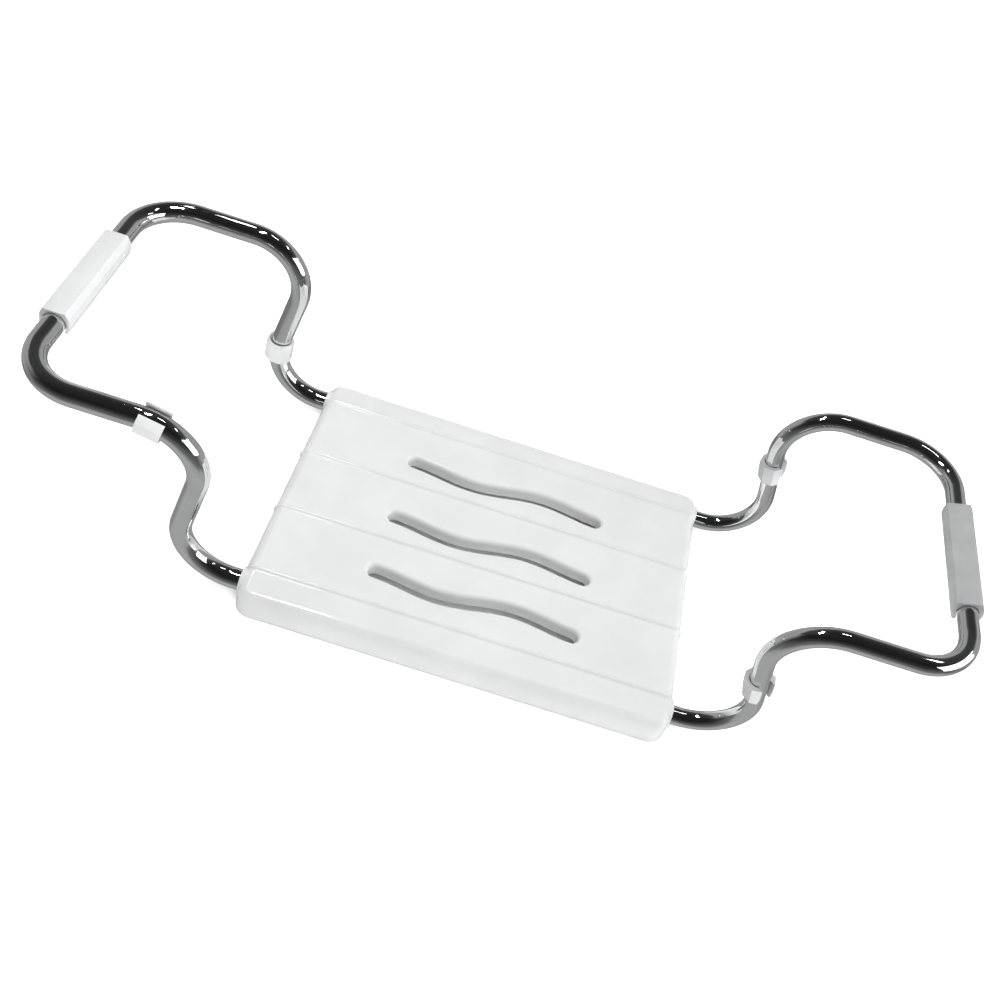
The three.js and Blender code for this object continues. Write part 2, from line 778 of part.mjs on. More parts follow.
function clipGeometry(bore) {
  const run = new THREE.ExtrudeGeometry(clipSection(bore), { depth: clipLength, bevelEnabled: false });
  return closedGeometry(run.translate(0, 0, -clipLength / 2));
}

// The right clips narrow towards their lower end
function taperedClipGeometry(bore) {
  const cornerShare = 1 / Math.cos(Math.PI / clipFaces);
  const low = clipFootWidth / 2 * cornerShare;
  const high = low + (clipWidth - clipFootWidth) / 2 * cornerShare * clipLength / clipTaper;
  const cone = new THREE.CylinderGeometry(high, low, clipLength, clipFaces);
  cone.rotateY(Math.PI / clipFaces).rotateX(Math.PI / 2);
  return toGeometry(toSolid(clipGeometry(bore)).intersect(toSolid(cone)));
}

// The left clips sit on bends, so each is eased towards the middle of its bend
function buildLeftClips() {
  const angles = [leftNearClipAngle, leftFarClipAngle, leftNearClipLean];
  const [nearAngle, farAngle, lean] = angles.map(THREE.MathUtils.degToRad);
  const nearBend = leftRoute.bends[1];
  const farBend = leftRoute.bends[5];
  const clips = [
    ['left_near_rim_clip', nearBend, nearBend.turn - nearAngle, new THREE.Vector3(0, Math.sin(lean), Math.cos(lean))],
    ['left_far_rim_clip', farBend, farAngle, new THREE.Vector3(0, 1, 0)],
  ];
  for (const [name, bend, along, mouthDirection] of clips) {
    const { point, tangent } = bendStation(bend, along);
    const sagitta = bend.radius - Math.sqrt(bend.radius ** 2 - clipLength ** 2 / 4);
    const centre = point.lerp(bend.centre, sagitta / 2 / bend.radius);
    const mesh = addMesh(name, clipGeometry(outerTubeRadius + clipBoreSlack), whiteAbs);
    placeClip(mesh, centre, tangent, mouthDirection);
  }
}

// The right clips hug the thinner risers, each turned its own way
function buildRightClips() {
  const rises = [rightNearClipRise, rightFarClipRise];
  const headings = [rightNearClipHeading, rightFarClipHeading].map(THREE.MathUtils.degToRad);
  sides.forEach(({ name, sign }, i) => {
    const foot = new THREE.Vector3(lowerCornerX, sign * legY, legZ);
    const head = new THREE.Vector3(upperCornerX, sign * runY, runZ);
    const tangent = head.sub(foot).normalize();
    const geometry = taperedClipGeometry(innerTubeRadius + rightClipBoreSlack);
    const mesh = addMesh(`right_${name}_rim_clip`, geometry, whiteAbs);
    const mouthDirection = new THREE.Vector3(Math.cos(headings[i]), Math.sin(headings[i]), 0);
    placeClip(mesh, foot.addScaledVector(tangent, rises[i]), tangent, mouthDirection);
  });
}

buildSeatBoard();
buildLeftFrame();
buildRightFrame();
buildLegPlugs();
buildGuideBushes();
buildSaddles();
buildStopScrews();
buildClamps();
buildGrips();
buildLeftClips();
buildRightClips();

export default bathBoard;
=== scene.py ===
import math

import bmesh
import bpy
from mathutils import Matrix, Vector
from mathutils.geometry import tessellate_polygon


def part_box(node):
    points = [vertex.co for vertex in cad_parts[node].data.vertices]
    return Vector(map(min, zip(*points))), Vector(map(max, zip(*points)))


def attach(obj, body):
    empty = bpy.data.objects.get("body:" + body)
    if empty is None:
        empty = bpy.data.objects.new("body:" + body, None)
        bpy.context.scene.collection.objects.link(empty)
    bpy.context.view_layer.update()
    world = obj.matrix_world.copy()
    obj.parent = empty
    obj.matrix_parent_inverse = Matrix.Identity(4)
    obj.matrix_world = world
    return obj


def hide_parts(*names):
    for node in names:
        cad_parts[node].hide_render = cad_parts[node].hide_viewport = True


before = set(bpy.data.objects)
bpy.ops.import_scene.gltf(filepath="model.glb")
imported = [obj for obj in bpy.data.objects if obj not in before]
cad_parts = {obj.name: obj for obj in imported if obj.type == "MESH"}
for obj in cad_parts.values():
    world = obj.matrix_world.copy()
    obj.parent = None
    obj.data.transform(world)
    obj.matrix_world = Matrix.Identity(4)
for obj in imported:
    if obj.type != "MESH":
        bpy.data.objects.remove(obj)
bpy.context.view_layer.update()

# Seat board
# One glossy white ABS moulding: a level plate with four rounded beads, a sloping strip and a
# turned-down skirt along each side, and rounded ends. Three wavy slots drain it, each through
# a deep collar, and ribs, screw bosses and tube collars are moulded in underneath.
MM = 0.001
seat_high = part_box("seat_board")[1]
bead_height = 1.5 * MM
bead_half_width = 2.9 * MM
bead_steps = 7
bead_places = [-107 * MM, -35 * MM, 35 * MM, 107 * MM]
bead_tail = 4 * MM
seat_end = seat_high.x - bead_height
seat_side = seat_high.y
plate_top = seat_high.z - bead_height
board_wall = 2.2 * MM
plate_under = plate_top - board_wall
plan_radius = 14 * MM
corner_x = seat_end - plan_radius
corner_y = seat_side - plan_radius
corner_steps = 10
end_rounding = 8 * MM
end_steps = 10
wall_steps = (0.25, 0.5, 0.75, 1.0)
shoulder_width = 8.5 * MM
shoulder_out_share = 0.76
shoulder_down_share = 0.12
skirt_lip = 3 * MM
rim_rounding = 0.55 * MM
rounded_lip = ((0, 1), (0.3, 0.3), (1, 0))
strip_width = 21.75 * MM
strip_drop = 2.3 * MM
crease_y = seat_side - shoulder_width
crease_z = plate_top - strip_drop
crease_width = 1.6 * MM
crease_sink = 0.13 * MM
strip_start = crease_y - strip_width
row_end = 4 * MM
slot_middles = [-75.7 * MM, -11.2 * MM, 59.7 * MM]
slot_width = 14 * MM
slot_length = 174 * MM
slot_centre_x = 3 * MM
wave_height = 4.1 * MM
wave_length = 126 * MM
wave_crest = 36.3 * MM
slot_rise_share = 0.022
slot_fillet = 2.6 * MM
slot_far_softness = 0.7
slot_left_softness = 0.5
slot_collar_wall = 2 * MM
slot_collar_depth = 12.5 * MM
slot_lip = 0.5 * MM
rib_half = 1 * MM
rib_low = plate_under - 8 * MM
rib_high = plate_under + board_wall / 4
rib_steps = 6
cross_rib_places = [-160 * MM, -113 * MM, 113 * MM, 160 * MM]
leg_y = 115 * MM
leg_z = 13.392 * MM
outer_tube_radius = 9 * MM
fit_gap = 0.3 * MM
saddle_places = [-140 * MM, 90 * MM]
boss_offset = 14.8 * MM
boss_radius = 3 * MM
outer_boss_top = 21.2 * MM
pilot_radius = 1.8 * MM
pilot_depth = 7.3 * MM
exit_collar_radius = 11.3 * MM
exit_collar_length = 12 * MM
exit_collar_proud = 1.2 * MM
exit_collar_rounding = 1 * MM


def strip_height(y):
    """Height of the plate and of its sloping side strips at y, without the beads."""
    slope = strip_drop * max(0.0, abs(y) - strip_start) / strip_width
    near_crease = max(0.0, 1 - (crease_y - abs(y)) / crease_width)
    return plate_top - slope - crease_sink * near_crease ** 2


def bead_rise(y):
    """How far the beads stand above the plate at y."""
    shares = [min(1.0, abs(y - place) / bead_half_width) for place in bead_places]
    return sum(bead_height * (0.5 + 0.5 * math.cos(math.pi * share)) for share in shares)


def end_profile(y, wall):
    """Wall at an end of the seat, from the plate down, as (inset, height, share of bead)."""
    top = strip_height(y) - wall
    radius = end_rounding - wall
    points = [(shoulder_width + wall * shoulder_out_share, top, 1.0)]
    for i in range(end_steps + 1):
        angle = math.pi / 2 * i / end_steps
        points.append((end_rounding - radius * math.sin(angle), top - radius * (1 - math.cos(angle)), 1.0))
    below = top - radius
    for share in wall_steps:
        points.append((wall, below - bead_tail * share, 0.5 + 0.5 * math.cos(math.pi * share)))
    points.append((wall, (below - bead_tail + skirt_lip) / 2, 0.0))
    points.append((wall, skirt_lip, 0.0))
    return points


def skirt_profile(heights, wall):
    """Curved skirt of a long side, its points at the same shares of height as the end's."""
    edge = shoulder_width + wall * shoulder_out_share
    edge_top = heights[0]
    bulge = edge - (edge - wall) * shoulder_out_share
    bulge_z = edge_top - (edge_top - skirt_lip) * shoulder_down_share
    points = []
    for z in heights:
        share = (z - heights[-1]) / (heights[0] - heights[-1])
        target = skirt_lip + (edge_top - skirt_lip) * share
        a = edge_top - 2 * bulge_z + skirt_lip
        b = 2 * (bulge_z - edge_top)
        t = (-b - math.sqrt(max(0.0, b * b - 4 * a * (edge_top - target)))) / (2 * a)
        points.append((edge * (1 - t) ** 2 + 2 * bulge * t * (1 - t) + wall * t * t, target))
    return points


def edge_profile(y, skirt_share):
    """The whole wall at one place: down the outside, round the lower rim and up the inside."""
    outer, inner = [], []
    for wall, run in ((0.0, outer), (board_wall, inner)):
        ends = end_profile(y, wall)
        skirts = skirt_profile([z for _, z, _ in ends], wall)
        for (end_inset, end_z, bead), (skirt_inset, skirt_z) in zip(ends, skirts):
            inset = end_inset + (skirt_inset - end_inset) * skirt_share
            height = end_z + (skirt_z - end_z) * skirt_share
            run.append((inset, height, bead * (1 - skirt_share) if wall == 0 else 0.0))
    rim = [(rim_rounding * across, rim_rounding * up, 0.0) for across, up in rounded_lip]
    rim[0] = (0, rim_rounding * 2, 0.0)
    rim += [(board_wall - inset, height, 0.0) for inset, height, _ in reversed(rim)]
    return outer + rim + inner[::-1]


def edge_stations():
    """Places round the plan: (x and y of the turning point, heading, share of skirt)."""
    bead_shares = [i / bead_steps for i in range(-bead_steps - 1, bead_steps + 2)]
    rows = [place + bead_half_width * share for place in bead_places for share in bead_shares]
    places = []
    for quarter, (x, y) in enumerate(
            ((corner_x, corner_y), (-corner_x, corner_y), (-corner_x, -corner_y), (corner_x, -corner_y))):
        for i in range(corner_steps + 1):
            share = i / corner_steps if quarter % 2 == 0 else 1 - i / corner_steps
            heading = math.pi / 2 * (quarter + i / corner_steps)
            places.append((x, y, heading, share * share * (3 - 2 * share)))
        if quarter in (0, 2):
            inner_x = x - math.copysign(row_end, x)
            places += [(inner_x, y, heading, 1.0), (-inner_x, y, heading, 1.0)]
        if quarter == 1:
            places += [(x, row, math.pi, 0.0) for row in reversed(rows)]
        if quarter == 3:
            places += [(x, row, 0.0, 0.0) for row in rows]
    return places


def slot_ring(middle, margin, z, soft, steps=56, round_steps=12):
    """Points round one wavy slot, grown by a margin. The top edge is softest at the far side."""
    start = slot_centre_x - slot_length / 2
    turn = math.tau / wave_length

    def edge_point(along, angle):
        x = start + slot_length * along
        wave = wave_height * math.cos(turn * (x - wave_crest))
        slope = slot_rise_share - wave_height * turn * math.sin(turn * (x - wave_crest))
        heading = math.atan(slope) + angle
        centre = middle + slot_rise_share * (x - slot_centre_x) + wave
        size = 1.0
        if soft:
            size += slot_far_softness * math.sin(heading) + slot_left_softness * max(0.0, -math.cos(heading))
        half = slot_width / 2 + margin * size
        height = plate_top - (plate_top - z) * size
        return Vector((x + half * math.cos(heading), centre + half * math.sin(heading), height))

    ring = [edge_point(i / steps, -math.pi / 2) for i in range(steps + 1)]
    ring += [edge_point(1, math.pi * (i / round_steps - 0.5)) for i in range(1, round_steps)]
    ring += [edge_point(i / steps, math.pi / 2) for i in range(steps, -1, -1)]
    ring += [edge_point(0, math.pi * (i / round_steps + 0.5)) for i in range(1, round_steps)]
    return ring


def slot_wall(fillet_steps=10):
    """A slot's wall, over the top edge, down, and up the outside: (margin, height, in top edge)."""
    wall = [(slot_fillet + slot_lip, plate_top, True)]
    for i in range(fillet_steps + 1):
        angle = math.pi / 2 * i / fillet_steps
        over, down = 1 - math.sin(angle), 1 - math.cos(angle)
        wall.append((slot_fillet * over, plate_top - slot_fillet * down, True))
    bottom = plate_top - slot_collar_depth
    wall += [(slot_lip * across, bottom + slot_lip * up, False) for across, up in rounded_lip]
    wall += [(slot_collar_wall - slot_lip * across, bottom + slot_lip * up, False)
             for across, up in reversed(rounded_lip)]
    return wall + [(slot_collar_wall, plate_under, False)]


def bridge_rings(mesh, first, second):
    """Quads between two closed rings with as many corners each."""
    for i, corner in enumerate(first):
        mesh.faces.new((corner, first[i - 1], second[i - 1], second[i]))


def seat_shell():
    """Plate, strips, skirt, beads and slots as one closed mesh."""
    mesh = bmesh.new()
    rings = []
    levels = {}
    for x, y, heading, skirt_share in edge_stations():
        out = Vector((math.cos(heading), math.sin(heading), 0))
        level = y + out.y * (plan_radius - shoulder_width)
        ring = []
        for inset, height, bead in edge_profile(level, skirt_share):
            lean = math.asin(max(0.0, min(1.0, 1 - inset / end_rounding)))
            lift = out * math.sin(lean) + Vector((0, 0, math.cos(lean)))
            place = Vector((x, y, height)) + out * (plan_radius - inset)
            ring.append(mesh.verts.new(place + lift * bead * bead_rise(level)))
        rings.append(ring)
        levels.setdefault(round(level / MM, 3), []).append(ring)
    for i, ring in enumerate(rings):
        for k in range(len(ring) - 1):
            mesh.faces.new((rings[i - 1][k], ring[k], ring[k + 1], rings[i - 1][k + 1]))

    walls = {
        middle: [[mesh.verts.new(p) for p in slot_ring(middle, *step)] for step in slot_wall()]
        for middle in slot_middles}
    for stack in walls.values():
        for upper, lower in zip(stack, stack[1:]):
            bridge_rings(mesh, upper, lower)

    def row(level, end):
        """Points across the top or the underside: two at the ends and two just inside them."""
        across = sorted((ring[end] for ring in levels[level]), key=lambda v: v.co.x)
        if len(across) == 2:
            step = Vector((row_end, 0, 0))
            across[1:1] = [mesh.verts.new(across[0].co + step), mesh.verts.new(across[1].co - step)]
        return across

    order = sorted(levels)
    for end in (0, -1):
        rows = [row(level, end) for level in order]
        for low, high, below, above in zip(order, order[1:], rows, rows[1:]):
            inside = [walls[middle][end] for middle in slot_middles if low * MM < middle < high * MM]
            for k in range(3):
                border = [below[k], below[k + 1], above[k + 1], above[k]]
                if k != 1 or not inside:
                    mesh.faces.new(border)
                    continue
                corners = border + inside[0]
                for face in tessellate_polygon([[v.co for v in loop] for loop in (border, inside[0])]):
                    mesh.faces.new([corners[i] for i in face])
    bmesh.ops.recalc_face_normals(mesh, faces=mesh.faces)
    return mesh


def mesh_object(name, mesh):
    """A finished bmesh as an object of its own."""
    data = bpy.data.meshes.new(name)
    mesh.to_mesh(data)
    mesh.free()
    piece = bpy.data.objects.new(name, data)
    bpy.context.scene.collection.objects.link(piece)
    return piece


def bake_modifiers(piece):
    """Turns a piece with live modifiers into a plain mesh."""
    made = piece.evaluated_get(bpy.context.evaluated_depsgraph_get())
    data = bpy.data.meshes.new_from_object(made)
    piece.modifiers.clear()
    piece.data = data
    return piece


def join_or_cut(piece, tool, operation="DIFFERENCE"):
    """Adds a tool's shape to a piece, or cuts it away, and removes the tool."""
    step = piece.modifiers.new(operation.lower(), "BOOLEAN")
    step.operation = operation
    step.solver = "EXACT"
    step.object = tool
    bake_modifiers(piece)
    bpy.data.objects.remove(tool)
    return piece


def add_prism(mesh, outline, place):
    """A closed prism; place(u, v, end) says where an outline point lies at end 0 or 1."""
    first = [mesh.verts.new(place(u, v, 0)) for u, v in outline]
    second = [mesh.verts.new(place(u, v, 1)) for u, v in outline]
    bridge_rings(mesh, first, second)
    mesh.faces.new(first)
    mesh.faces.new(second)


def add_turning(mesh, profile, place, segments=40):
    """A solid of revolution from (radius, distance) points; place(across, up, distance)."""
    rings = []
    for radius, distance in profile:
        if radius == 0:
            rings.append([mesh.verts.new(place(0, 0, distance))] * segments)
            continue
        turns = [math.tau * i / segments for i in range(segments)]
        rings.append([mesh.verts.new(place(radius * math.cos(a), radius * math.sin(a), distance)) for a in turns])
    closed = profile[0][0] > 0 and profile[-1][0] > 0
    for k in range(len(rings) if closed else len(rings) - 1):
        first, second = rings[k], rings[(k + 1) % len(rings)]
        for i in range(segments):
            corners = []
            for corner in (first[i - 1], first[i], second[i], second[i - 1]):
                if corner not in corners:
                    corners.append(corner)
            mesh.faces.new(corners)


def closed_mesh(build):
    """A bmesh filled by a function, its faces turned outwards."""
    mesh = bmesh.new()
    build(mesh)
    bmesh.ops.recalc_face_normals(mesh, faces=mesh.faces)
    return mesh


def solid(name, build):
    """A closed solid as an object of its own, filled by a function."""
    return mesh_object(name, closed_mesh(build))


def upright(x, y):
    """Turns (across, up, distance) into a place on an upright axis."""
    return lambda u, v, z: Vector((x + u, y + v, z))


def along_leg(side, end=1):
    """Turns (across, up, distance) into a place on the axis of one side's leg."""
    return lambda u, v, x: Vector((end * x, side * leg_y + u, leg_z + v))


def rod(radius, low, high):
    """Profile of a plain rod."""
    return [(0, low), (radius, low), (radius, high), (0, high)]


def cross_ribs(mesh):
    """Four ribs that run across the seat, between the legs."""
    reach = leg_y - outer_tube_radius - board_wall
    for x in cross_rib_places:
        outline = [(-reach, rib_low), (reach, rib_low), (reach, rib_high), (-reach, rib_high)]
        add_prism(mesh, outline, lambda u, v, end: Vector((x + rib_half * (2 * end - 1), u, v)))


def long_ribs(mesh):
    """Two ribs along the seat, under the inner beads, rounded off with its ends."""
    wall_middle = board_wall / 2
    turn_x = seat_end - end_rounding
    turn_z = plate_top - end_rounding
    radius = end_rounding - wall_middle
    right = [(turn_x + radius, rib_low)]
    for i in range(rib_steps):
        angle = math.pi / 2 * i / rib_steps
        right.append((turn_x + radius * math.cos(angle), min(rib_high, turn_z + radius * math.sin(angle))))
    outline = right + [(-u, v) for u, v in reversed(right)]
    for y in bead_places[1:3]:
        add_prism(mesh, outline, lambda u, v, end: Vector((u, y + rib_half * (2 * end - 1), v)))


def bosses_and_collars(mesh):
    """Screw bosses beside the legs and a collar round each tube at the seat's ends."""
    for side in (-1, 1):
        for x in saddle_places:
            for across in (-boss_offset, boss_offset):
                y = side * (leg_y + across)
                top = outer_boss_top if across > 0 else rib_high
                add_turning(mesh, rod(boss_radius, leg_z + fit_gap, top), upright(x, y), 24)
        for end in (-1, 1):
            inner = seat_end - exit_collar_length
            outer = seat_end + exit_collar_proud
            profile = [(0, inner), (exit_collar_radius, inner)]
            for i in range(6):
                angle = math.pi / 2 * i / 5
                profile.append((
                    exit_collar_radius - exit_collar_rounding * (1 - math.cos(angle)),
                    outer - exit_collar_rounding * (1 - math.sin(angle))))
            profile.append((0, outer))
            add_turning(mesh, profile, along_leg(side, end), 56)


def tube_and_screw_holes(mesh):
    """Holes for the tubes through the ends, and for the saddle screws in the bosses."""
    for side in (-1, 1):
        for x in saddle_places:
            for across in (-boss_offset, boss_offset):
                y = side * (leg_y + across)
                top = leg_z + pilot_depth
                profile = [(0, 0), (pilot_radius, 0), (pilot_radius, top - pilot_radius), (0, top)]
                add_turning(mesh, profile, upright(x, y), 20)
        for end in (-1, 1):
            radius = outer_tube_radius + fit_gap * (1 if end < 0 else 2)
            inner = seat_end - exit_collar_length - board_wall
            outer = seat_end + exit_collar_proud + board_wall
            add_turning(mesh, rod(radius, inner, outer), along_leg(side, end), 56)


def add_node(tree, kind, **settings):
    """A shader node in a tree, its inputs set by name."""
    node = tree.nodes.new("ShaderNode" + kind)
    for entry, value in settings.items():
        node.inputs[entry.replace("_", " ")].default_value = value
    return node


def wire(tree, *joins):
    """Joins nodes, each join as (from node, its output, to node, its input)."""
    for source, output, target, entry in joins:
        tree.links.new(source.outputs[output], target.inputs[entry])


def set_ramp(ramp, stops):
    """Gives a colour ramp its (position, colour) stops."""
    elements = ramp.color_ramp.elements
    while len(elements) < len(stops):
        elements.new(0.5)
    for element, (position, colour) in zip(elements, stops):
        element.position = position
        element.color = (*colour, 1)


def noise_finish(name, dark, light, roughness, scale=60, grain=0.02, grain_scale=900, metallic=0.0):
    """A finish that drifts between two near colours, with a fine grain and uneven gloss."""
    material = bpy.data.materials.new(name)
    material.use_nodes = True
    tree = material.node_tree
    shader = tree.nodes["Principled BSDF"]
    shader.inputs["Metallic"].default_value = metallic
    place = add_node(tree, "TexCoord")
    cloud = add_node(tree, "TexNoise", Scale=scale, Detail=4)
    tint = add_node(tree, "ValToRGB")
    set_ramp(tint, ((0.3, dark), (0.7, light)))
    gloss = add_node(tree, "MapRange", To_Min=roughness[0], To_Max=roughness[1])
    fine = add_node(tree, "TexNoise", Scale=grain_scale, Detail=3)
    bump = add_node(tree, "Bump", Strength=grain, Distance=MM)
    wire(tree, (place, "Object", cloud, "Vector"), (cloud, "Fac", tint, "Fac"),
         (tint, "Color", shader, "Base Color"), (cloud, "Fac", gloss, "Value"),
         (gloss, "Result", shader, "Roughness"), (place, "Object", fine, "Vector"),
         (fine, "Fac", bump, "Height"), (bump, "Normal", shader, "Normal"))
    return material


def finish_piece(piece, material, slot, body, *nodes):
    """Smooth shading with crisp edges, a finish, and the body and CAD nodes of the piece."""
    piece.data.materials.clear()
    piece.data.materials.append(material)
    piece.data.shade_smooth()
    piece.data.set_sharp_from_angle(angle=math.radians(32))
    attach(piece, body)
    if nodes:
        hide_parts(*nodes)
    return piece


glossy_abs = noise_finish(
    "glossy_white_abs", (0.80, 0.805, 0.81), (0.845, 0.85, 0.85), (0.08, 0.14), scale=25, grain=0.02)
seat = mesh_object("seat_moulding", seat_shell())
for shape in (cross_ribs, long_ribs, bosses_and_collars):
    join_or_cut(seat, solid(shape.__name__, shape), "UNION")
join_or_cut(seat, solid("holes", tube_and_screw_holes))
finish_piece(seat, glossy_abs, "white_abs", "board", "seat_board")

# Frames
# Two loops of chromed steel tube, each bent six times: legs under the seat, risers, upper
# runs and a crossbar. The left one is the thicker tube, and the right one slides inside its
# legs on long slots.
riser_foot_x = 251 * MM
riser_head_x = 214.5 * MM
crossbar_x = 366 * MM
run_y = 121 * MM
run_z = 175.392 * MM
bend_radii = [46 * MM, 46 * MM, 44 * MM]
inner_tube_radius = 8 * MM
outer_tube_wall = 0.75 * MM
inner_tube_wall = 1.2 * MM
mouth_x = 150 * MM
sliding_end_x = -60 * MM
clamp_x = 135 * MM
clamp_hole_radius = 3.3 * MM
stop_screw_x = 120 * MM
stop_hole_radius = 2.3 * MM
slot_reach = (82.3 * MM, 8.3 * MM)
bend_steps = 28
tube_sides = 64


def new_tree(name, inputs, kinds):
    """An empty node tree with named inputs, and nodes from its input to its last three."""
    tree = bpy.data.node_groups.new(name, "GeometryNodeTree")
    for entry, kind in inputs:
        tree.interface.new_socket(entry, in_out="INPUT", socket_type="NodeSocket" + kind)
    tree.interface.new_socket("Made", in_out="OUTPUT", socket_type="NodeSocketGeometry")
    last = ("GeometryNodeRealizeInstances", "GeometryNodeSetMaterial", "NodeGroupOutput")
    given, *working, real, paint, result = (tree.nodes.new(kind) for kind in ("NodeGroupInput", *kinds, *last))
    wire(tree, (real, "Geometry", paint, "Geometry"), (given, "Finish", paint, "Material"),
         (paint, "Geometry", result, "Made"))
    return tree, given, *working, real


def tube_tree():
    """Node tree that rounds a path's corners and sweeps a circle along it."""
    inputs = (("Path", "Geometry"), ("Tube radius", "Float"), ("Bend steps", "Int"), ("Sides", "Int"),
              ("Finish", "Material"))
    tree, given, path, radius, bend, circle, sweep, real = new_tree("bent_tube", inputs, (
        "GeometryNodeMeshToCurve", "GeometryNodeInputNamedAttribute", "GeometryNodeFilletCurve",
        "GeometryNodeCurvePrimitiveCircle", "GeometryNodeCurveToMesh"))
    radius.data_type = "FLOAT"
    radius.inputs["Name"].default_value = "bend_radius"
    bend.mode = "POLY"
    wire(tree, (given, "Path", path, "Mesh"), (path, "Curve", bend, "Curve"),
         (given, "Bend steps", bend, "Count"), (radius, "Attribute", bend, "Radius"),
         (given, "Sides", circle, "Resolution"), (given, "Tube radius", circle, "Radius"),
         (bend, "Curve", sweep, "Curve"), (circle, "Curve", sweep, "Profile Curve"),
         (sweep, "Mesh", real, "Geometry"))
    return tree


def run_tree(piece, tree, **values):
    """Runs a node tree on a piece with its named inputs, and keeps the result as a mesh."""
    step = piece.modifiers.new(tree.name, "NODES")
    step.node_group = tree
    for item in tree.interface.items_tree:
        key = item.name.lower().replace(" ", "_")
        if item.in_out == "INPUT" and key in values:
            step[item.identifier] = values[key]
    return bake_modifiers(piece)


def frame_corners(side, leg_end):
    """Corner points of a frame, from the near leg round the crossbar to the far leg."""
    half = [
        (leg_end, leg_y, leg_z),
        (side * riser_foot_x, leg_y, leg_z),
        (side * riser_head_x, run_y, run_z),
        (side * crossbar_x, run_y, run_z),
    ]
    return [Vector((x, -y, z)) for x, y, z in half] + [Vector(p) for p in reversed(half)]


def bent_frame(name, side, leg_end, radius, wall, finish, tree):
    """One frame as a hollow tube."""
    corners = frame_corners(side, leg_end)
    path = bpy.data.meshes.new(name)
    path.from_pydata(corners, [(i, i + 1) for i in range(len(corners) - 1)], [])
    radii = [0.0, *bend_radii, *reversed(bend_radii), 0.0]
    path.attributes.new("bend_radius", "FLOAT", "POINT").data.foreach_set("value", radii)
    piece = bpy.data.objects.new(name, path)
    bpy.context.scene.collection.objects.link(piece)
    run_tree(piece, tree, tube_radius=radius, bend_steps=bend_steps, sides=tube_sides, finish=finish)
    fix = bmesh.new()
    fix.from_mesh(piece.data)
    bmesh.ops.recalc_face_normals(fix, faces=fix.faces)
    fix.to_mesh(piece.data)
    fix.free()
    skin = piece.modifiers.new("wall", "SOLIDIFY")
    skin.thickness = wall
    skin.offset = -1
    return bake_modifiers(piece)


def clamp_and_stop_holes(mesh):
    """Holes in the outer tube: one for each clamp screw and one for each stop screw."""
    for side in (-1, 1):
        y = side * leg_y
        reach = outer_tube_radius + fit_gap
        add_turning(mesh, rod(clamp_hole_radius, -reach, 0),
                    lambda u, v, d: Vector((clamp_x + u, y + side * d, leg_z + v)), 24)
        add_turning(mesh, rod(stop_hole_radius, leg_z - reach, leg_z), upright(stop_screw_x, y), 24)


def stop_slots(mesh):
    """A long round-ended slot under each sliding leg."""
    for side in (-1, 1):
        outline = []
        for end, reach in ((1, slot_reach[1]), (-1, slot_reach[0])):
            for i in range(13):
                angle = math.pi * (i / 12 - 0.5)
                straight = reach - stop_hole_radius
                outline.append((
                    stop_screw_x + end * (straight + stop_hole_radius * math.cos(angle)),
                    side * leg_y + end * stop_hole_radius * math.sin(angle)))
        add_prism(mesh, outline, lambda u, v, end: Vector((u, v, leg_z - outer_tube_radius * end)))


chrome = noise_finish(
    "chromed_steel", (0.78, 0.785, 0.79), (0.86, 0.865, 0.87), (0.03, 0.08), scale=40, grain=0.004,
    grain_scale=300, metallic=1.0)
bent_tube = tube_tree()
left_frame = bent_frame("left_frame", -1, mouth_x, outer_tube_radius, outer_tube_wall, chrome, bent_tube)
join_or_cut(left_frame, solid("frame_holes", clamp_and_stop_holes))
finish_piece(left_frame, chrome, "chrome_tube", "board", "left_frame_tube")
right_frame = bent_frame("right_frame", 1, sliding_end_x, inner_tube_radius, inner_tube_wall, chrome, bent_tube)
join_or_cut(right_frame, solid("frame_slots", stop_slots))
finish_piece(right_frame, chrome, "chrome_tube", "sliding_frame", "right_frame_tube")

# Leg plugs and guide bushes
# A satin grey push-in plug closes the inner end of each sliding leg, and a white nylon sleeve
# in each right-hand collar keeps the thinner leg centred.
plug_flange = 2 * MM
plug_depth = 9 * MM
plug_grooves = 4
groove_slope = 0.3
bush_wall = 1 * MM
edge_round = 0.4 * MM
satin_grey = noise_finish(
    "satin_grey_plastic", (0.22, 0.23, 0.245), (0.27, 0.28, 0.29), (0.4, 0.52), scale=90, grain=0.06)
nylon = noise_finish(
    "white_nylon", (0.74, 0.74, 0.725), (0.80, 0.80, 0.79), (0.36, 0.48), scale=70, grain=0.05)


def leg_plug(mesh, side):
    """A flange with a rounded face and a ribbed spigot behind it."""
    face = inner_tube_radius - fit_gap
    spigot = inner_tube_radius - inner_tube_wall - fit_gap
    groove = spigot - edge_round
    start = sliding_end_x - fit_gap - plug_flange
    step = plug_depth / (2 * plug_grooves + 1)
    profile = [(0, start), (face - edge_round, start), (face, start + edge_round)]
    profile += [(face, start + plug_flange), (spigot, start + plug_flange)]
    for k in range(1, 2 * plug_grooves, 2):
        behind = start + plug_flange + k * step
        profile += [(spigot, behind), (groove, behind + groove_slope * step)]
        profile += [(groove, behind + (1 - groove_slope) * step), (spigot, behind + step)]
    profile.append((0, start + plug_flange + plug_depth))
    add_turning(mesh, profile, along_leg(side))


def guide_bush(mesh, side):
    """A thin sleeve with rounded ends."""
    outer = outer_tube_radius + fit_gap
    inner = outer - bush_wall
    low = seat_end - exit_collar_length
    high = seat_end + exit_collar_proud
    round_off = bush_wall / 4
    profile = [(inner, low + round_off), (inner + round_off, low), (outer - round_off, low)]
    profile += [(outer, low + round_off), (outer, high - round_off), (outer - round_off, high)]
    profile += [(inner + round_off, high), (inner, high - round_off)]
    add_turning(mesh, profile, along_leg(side), 48)


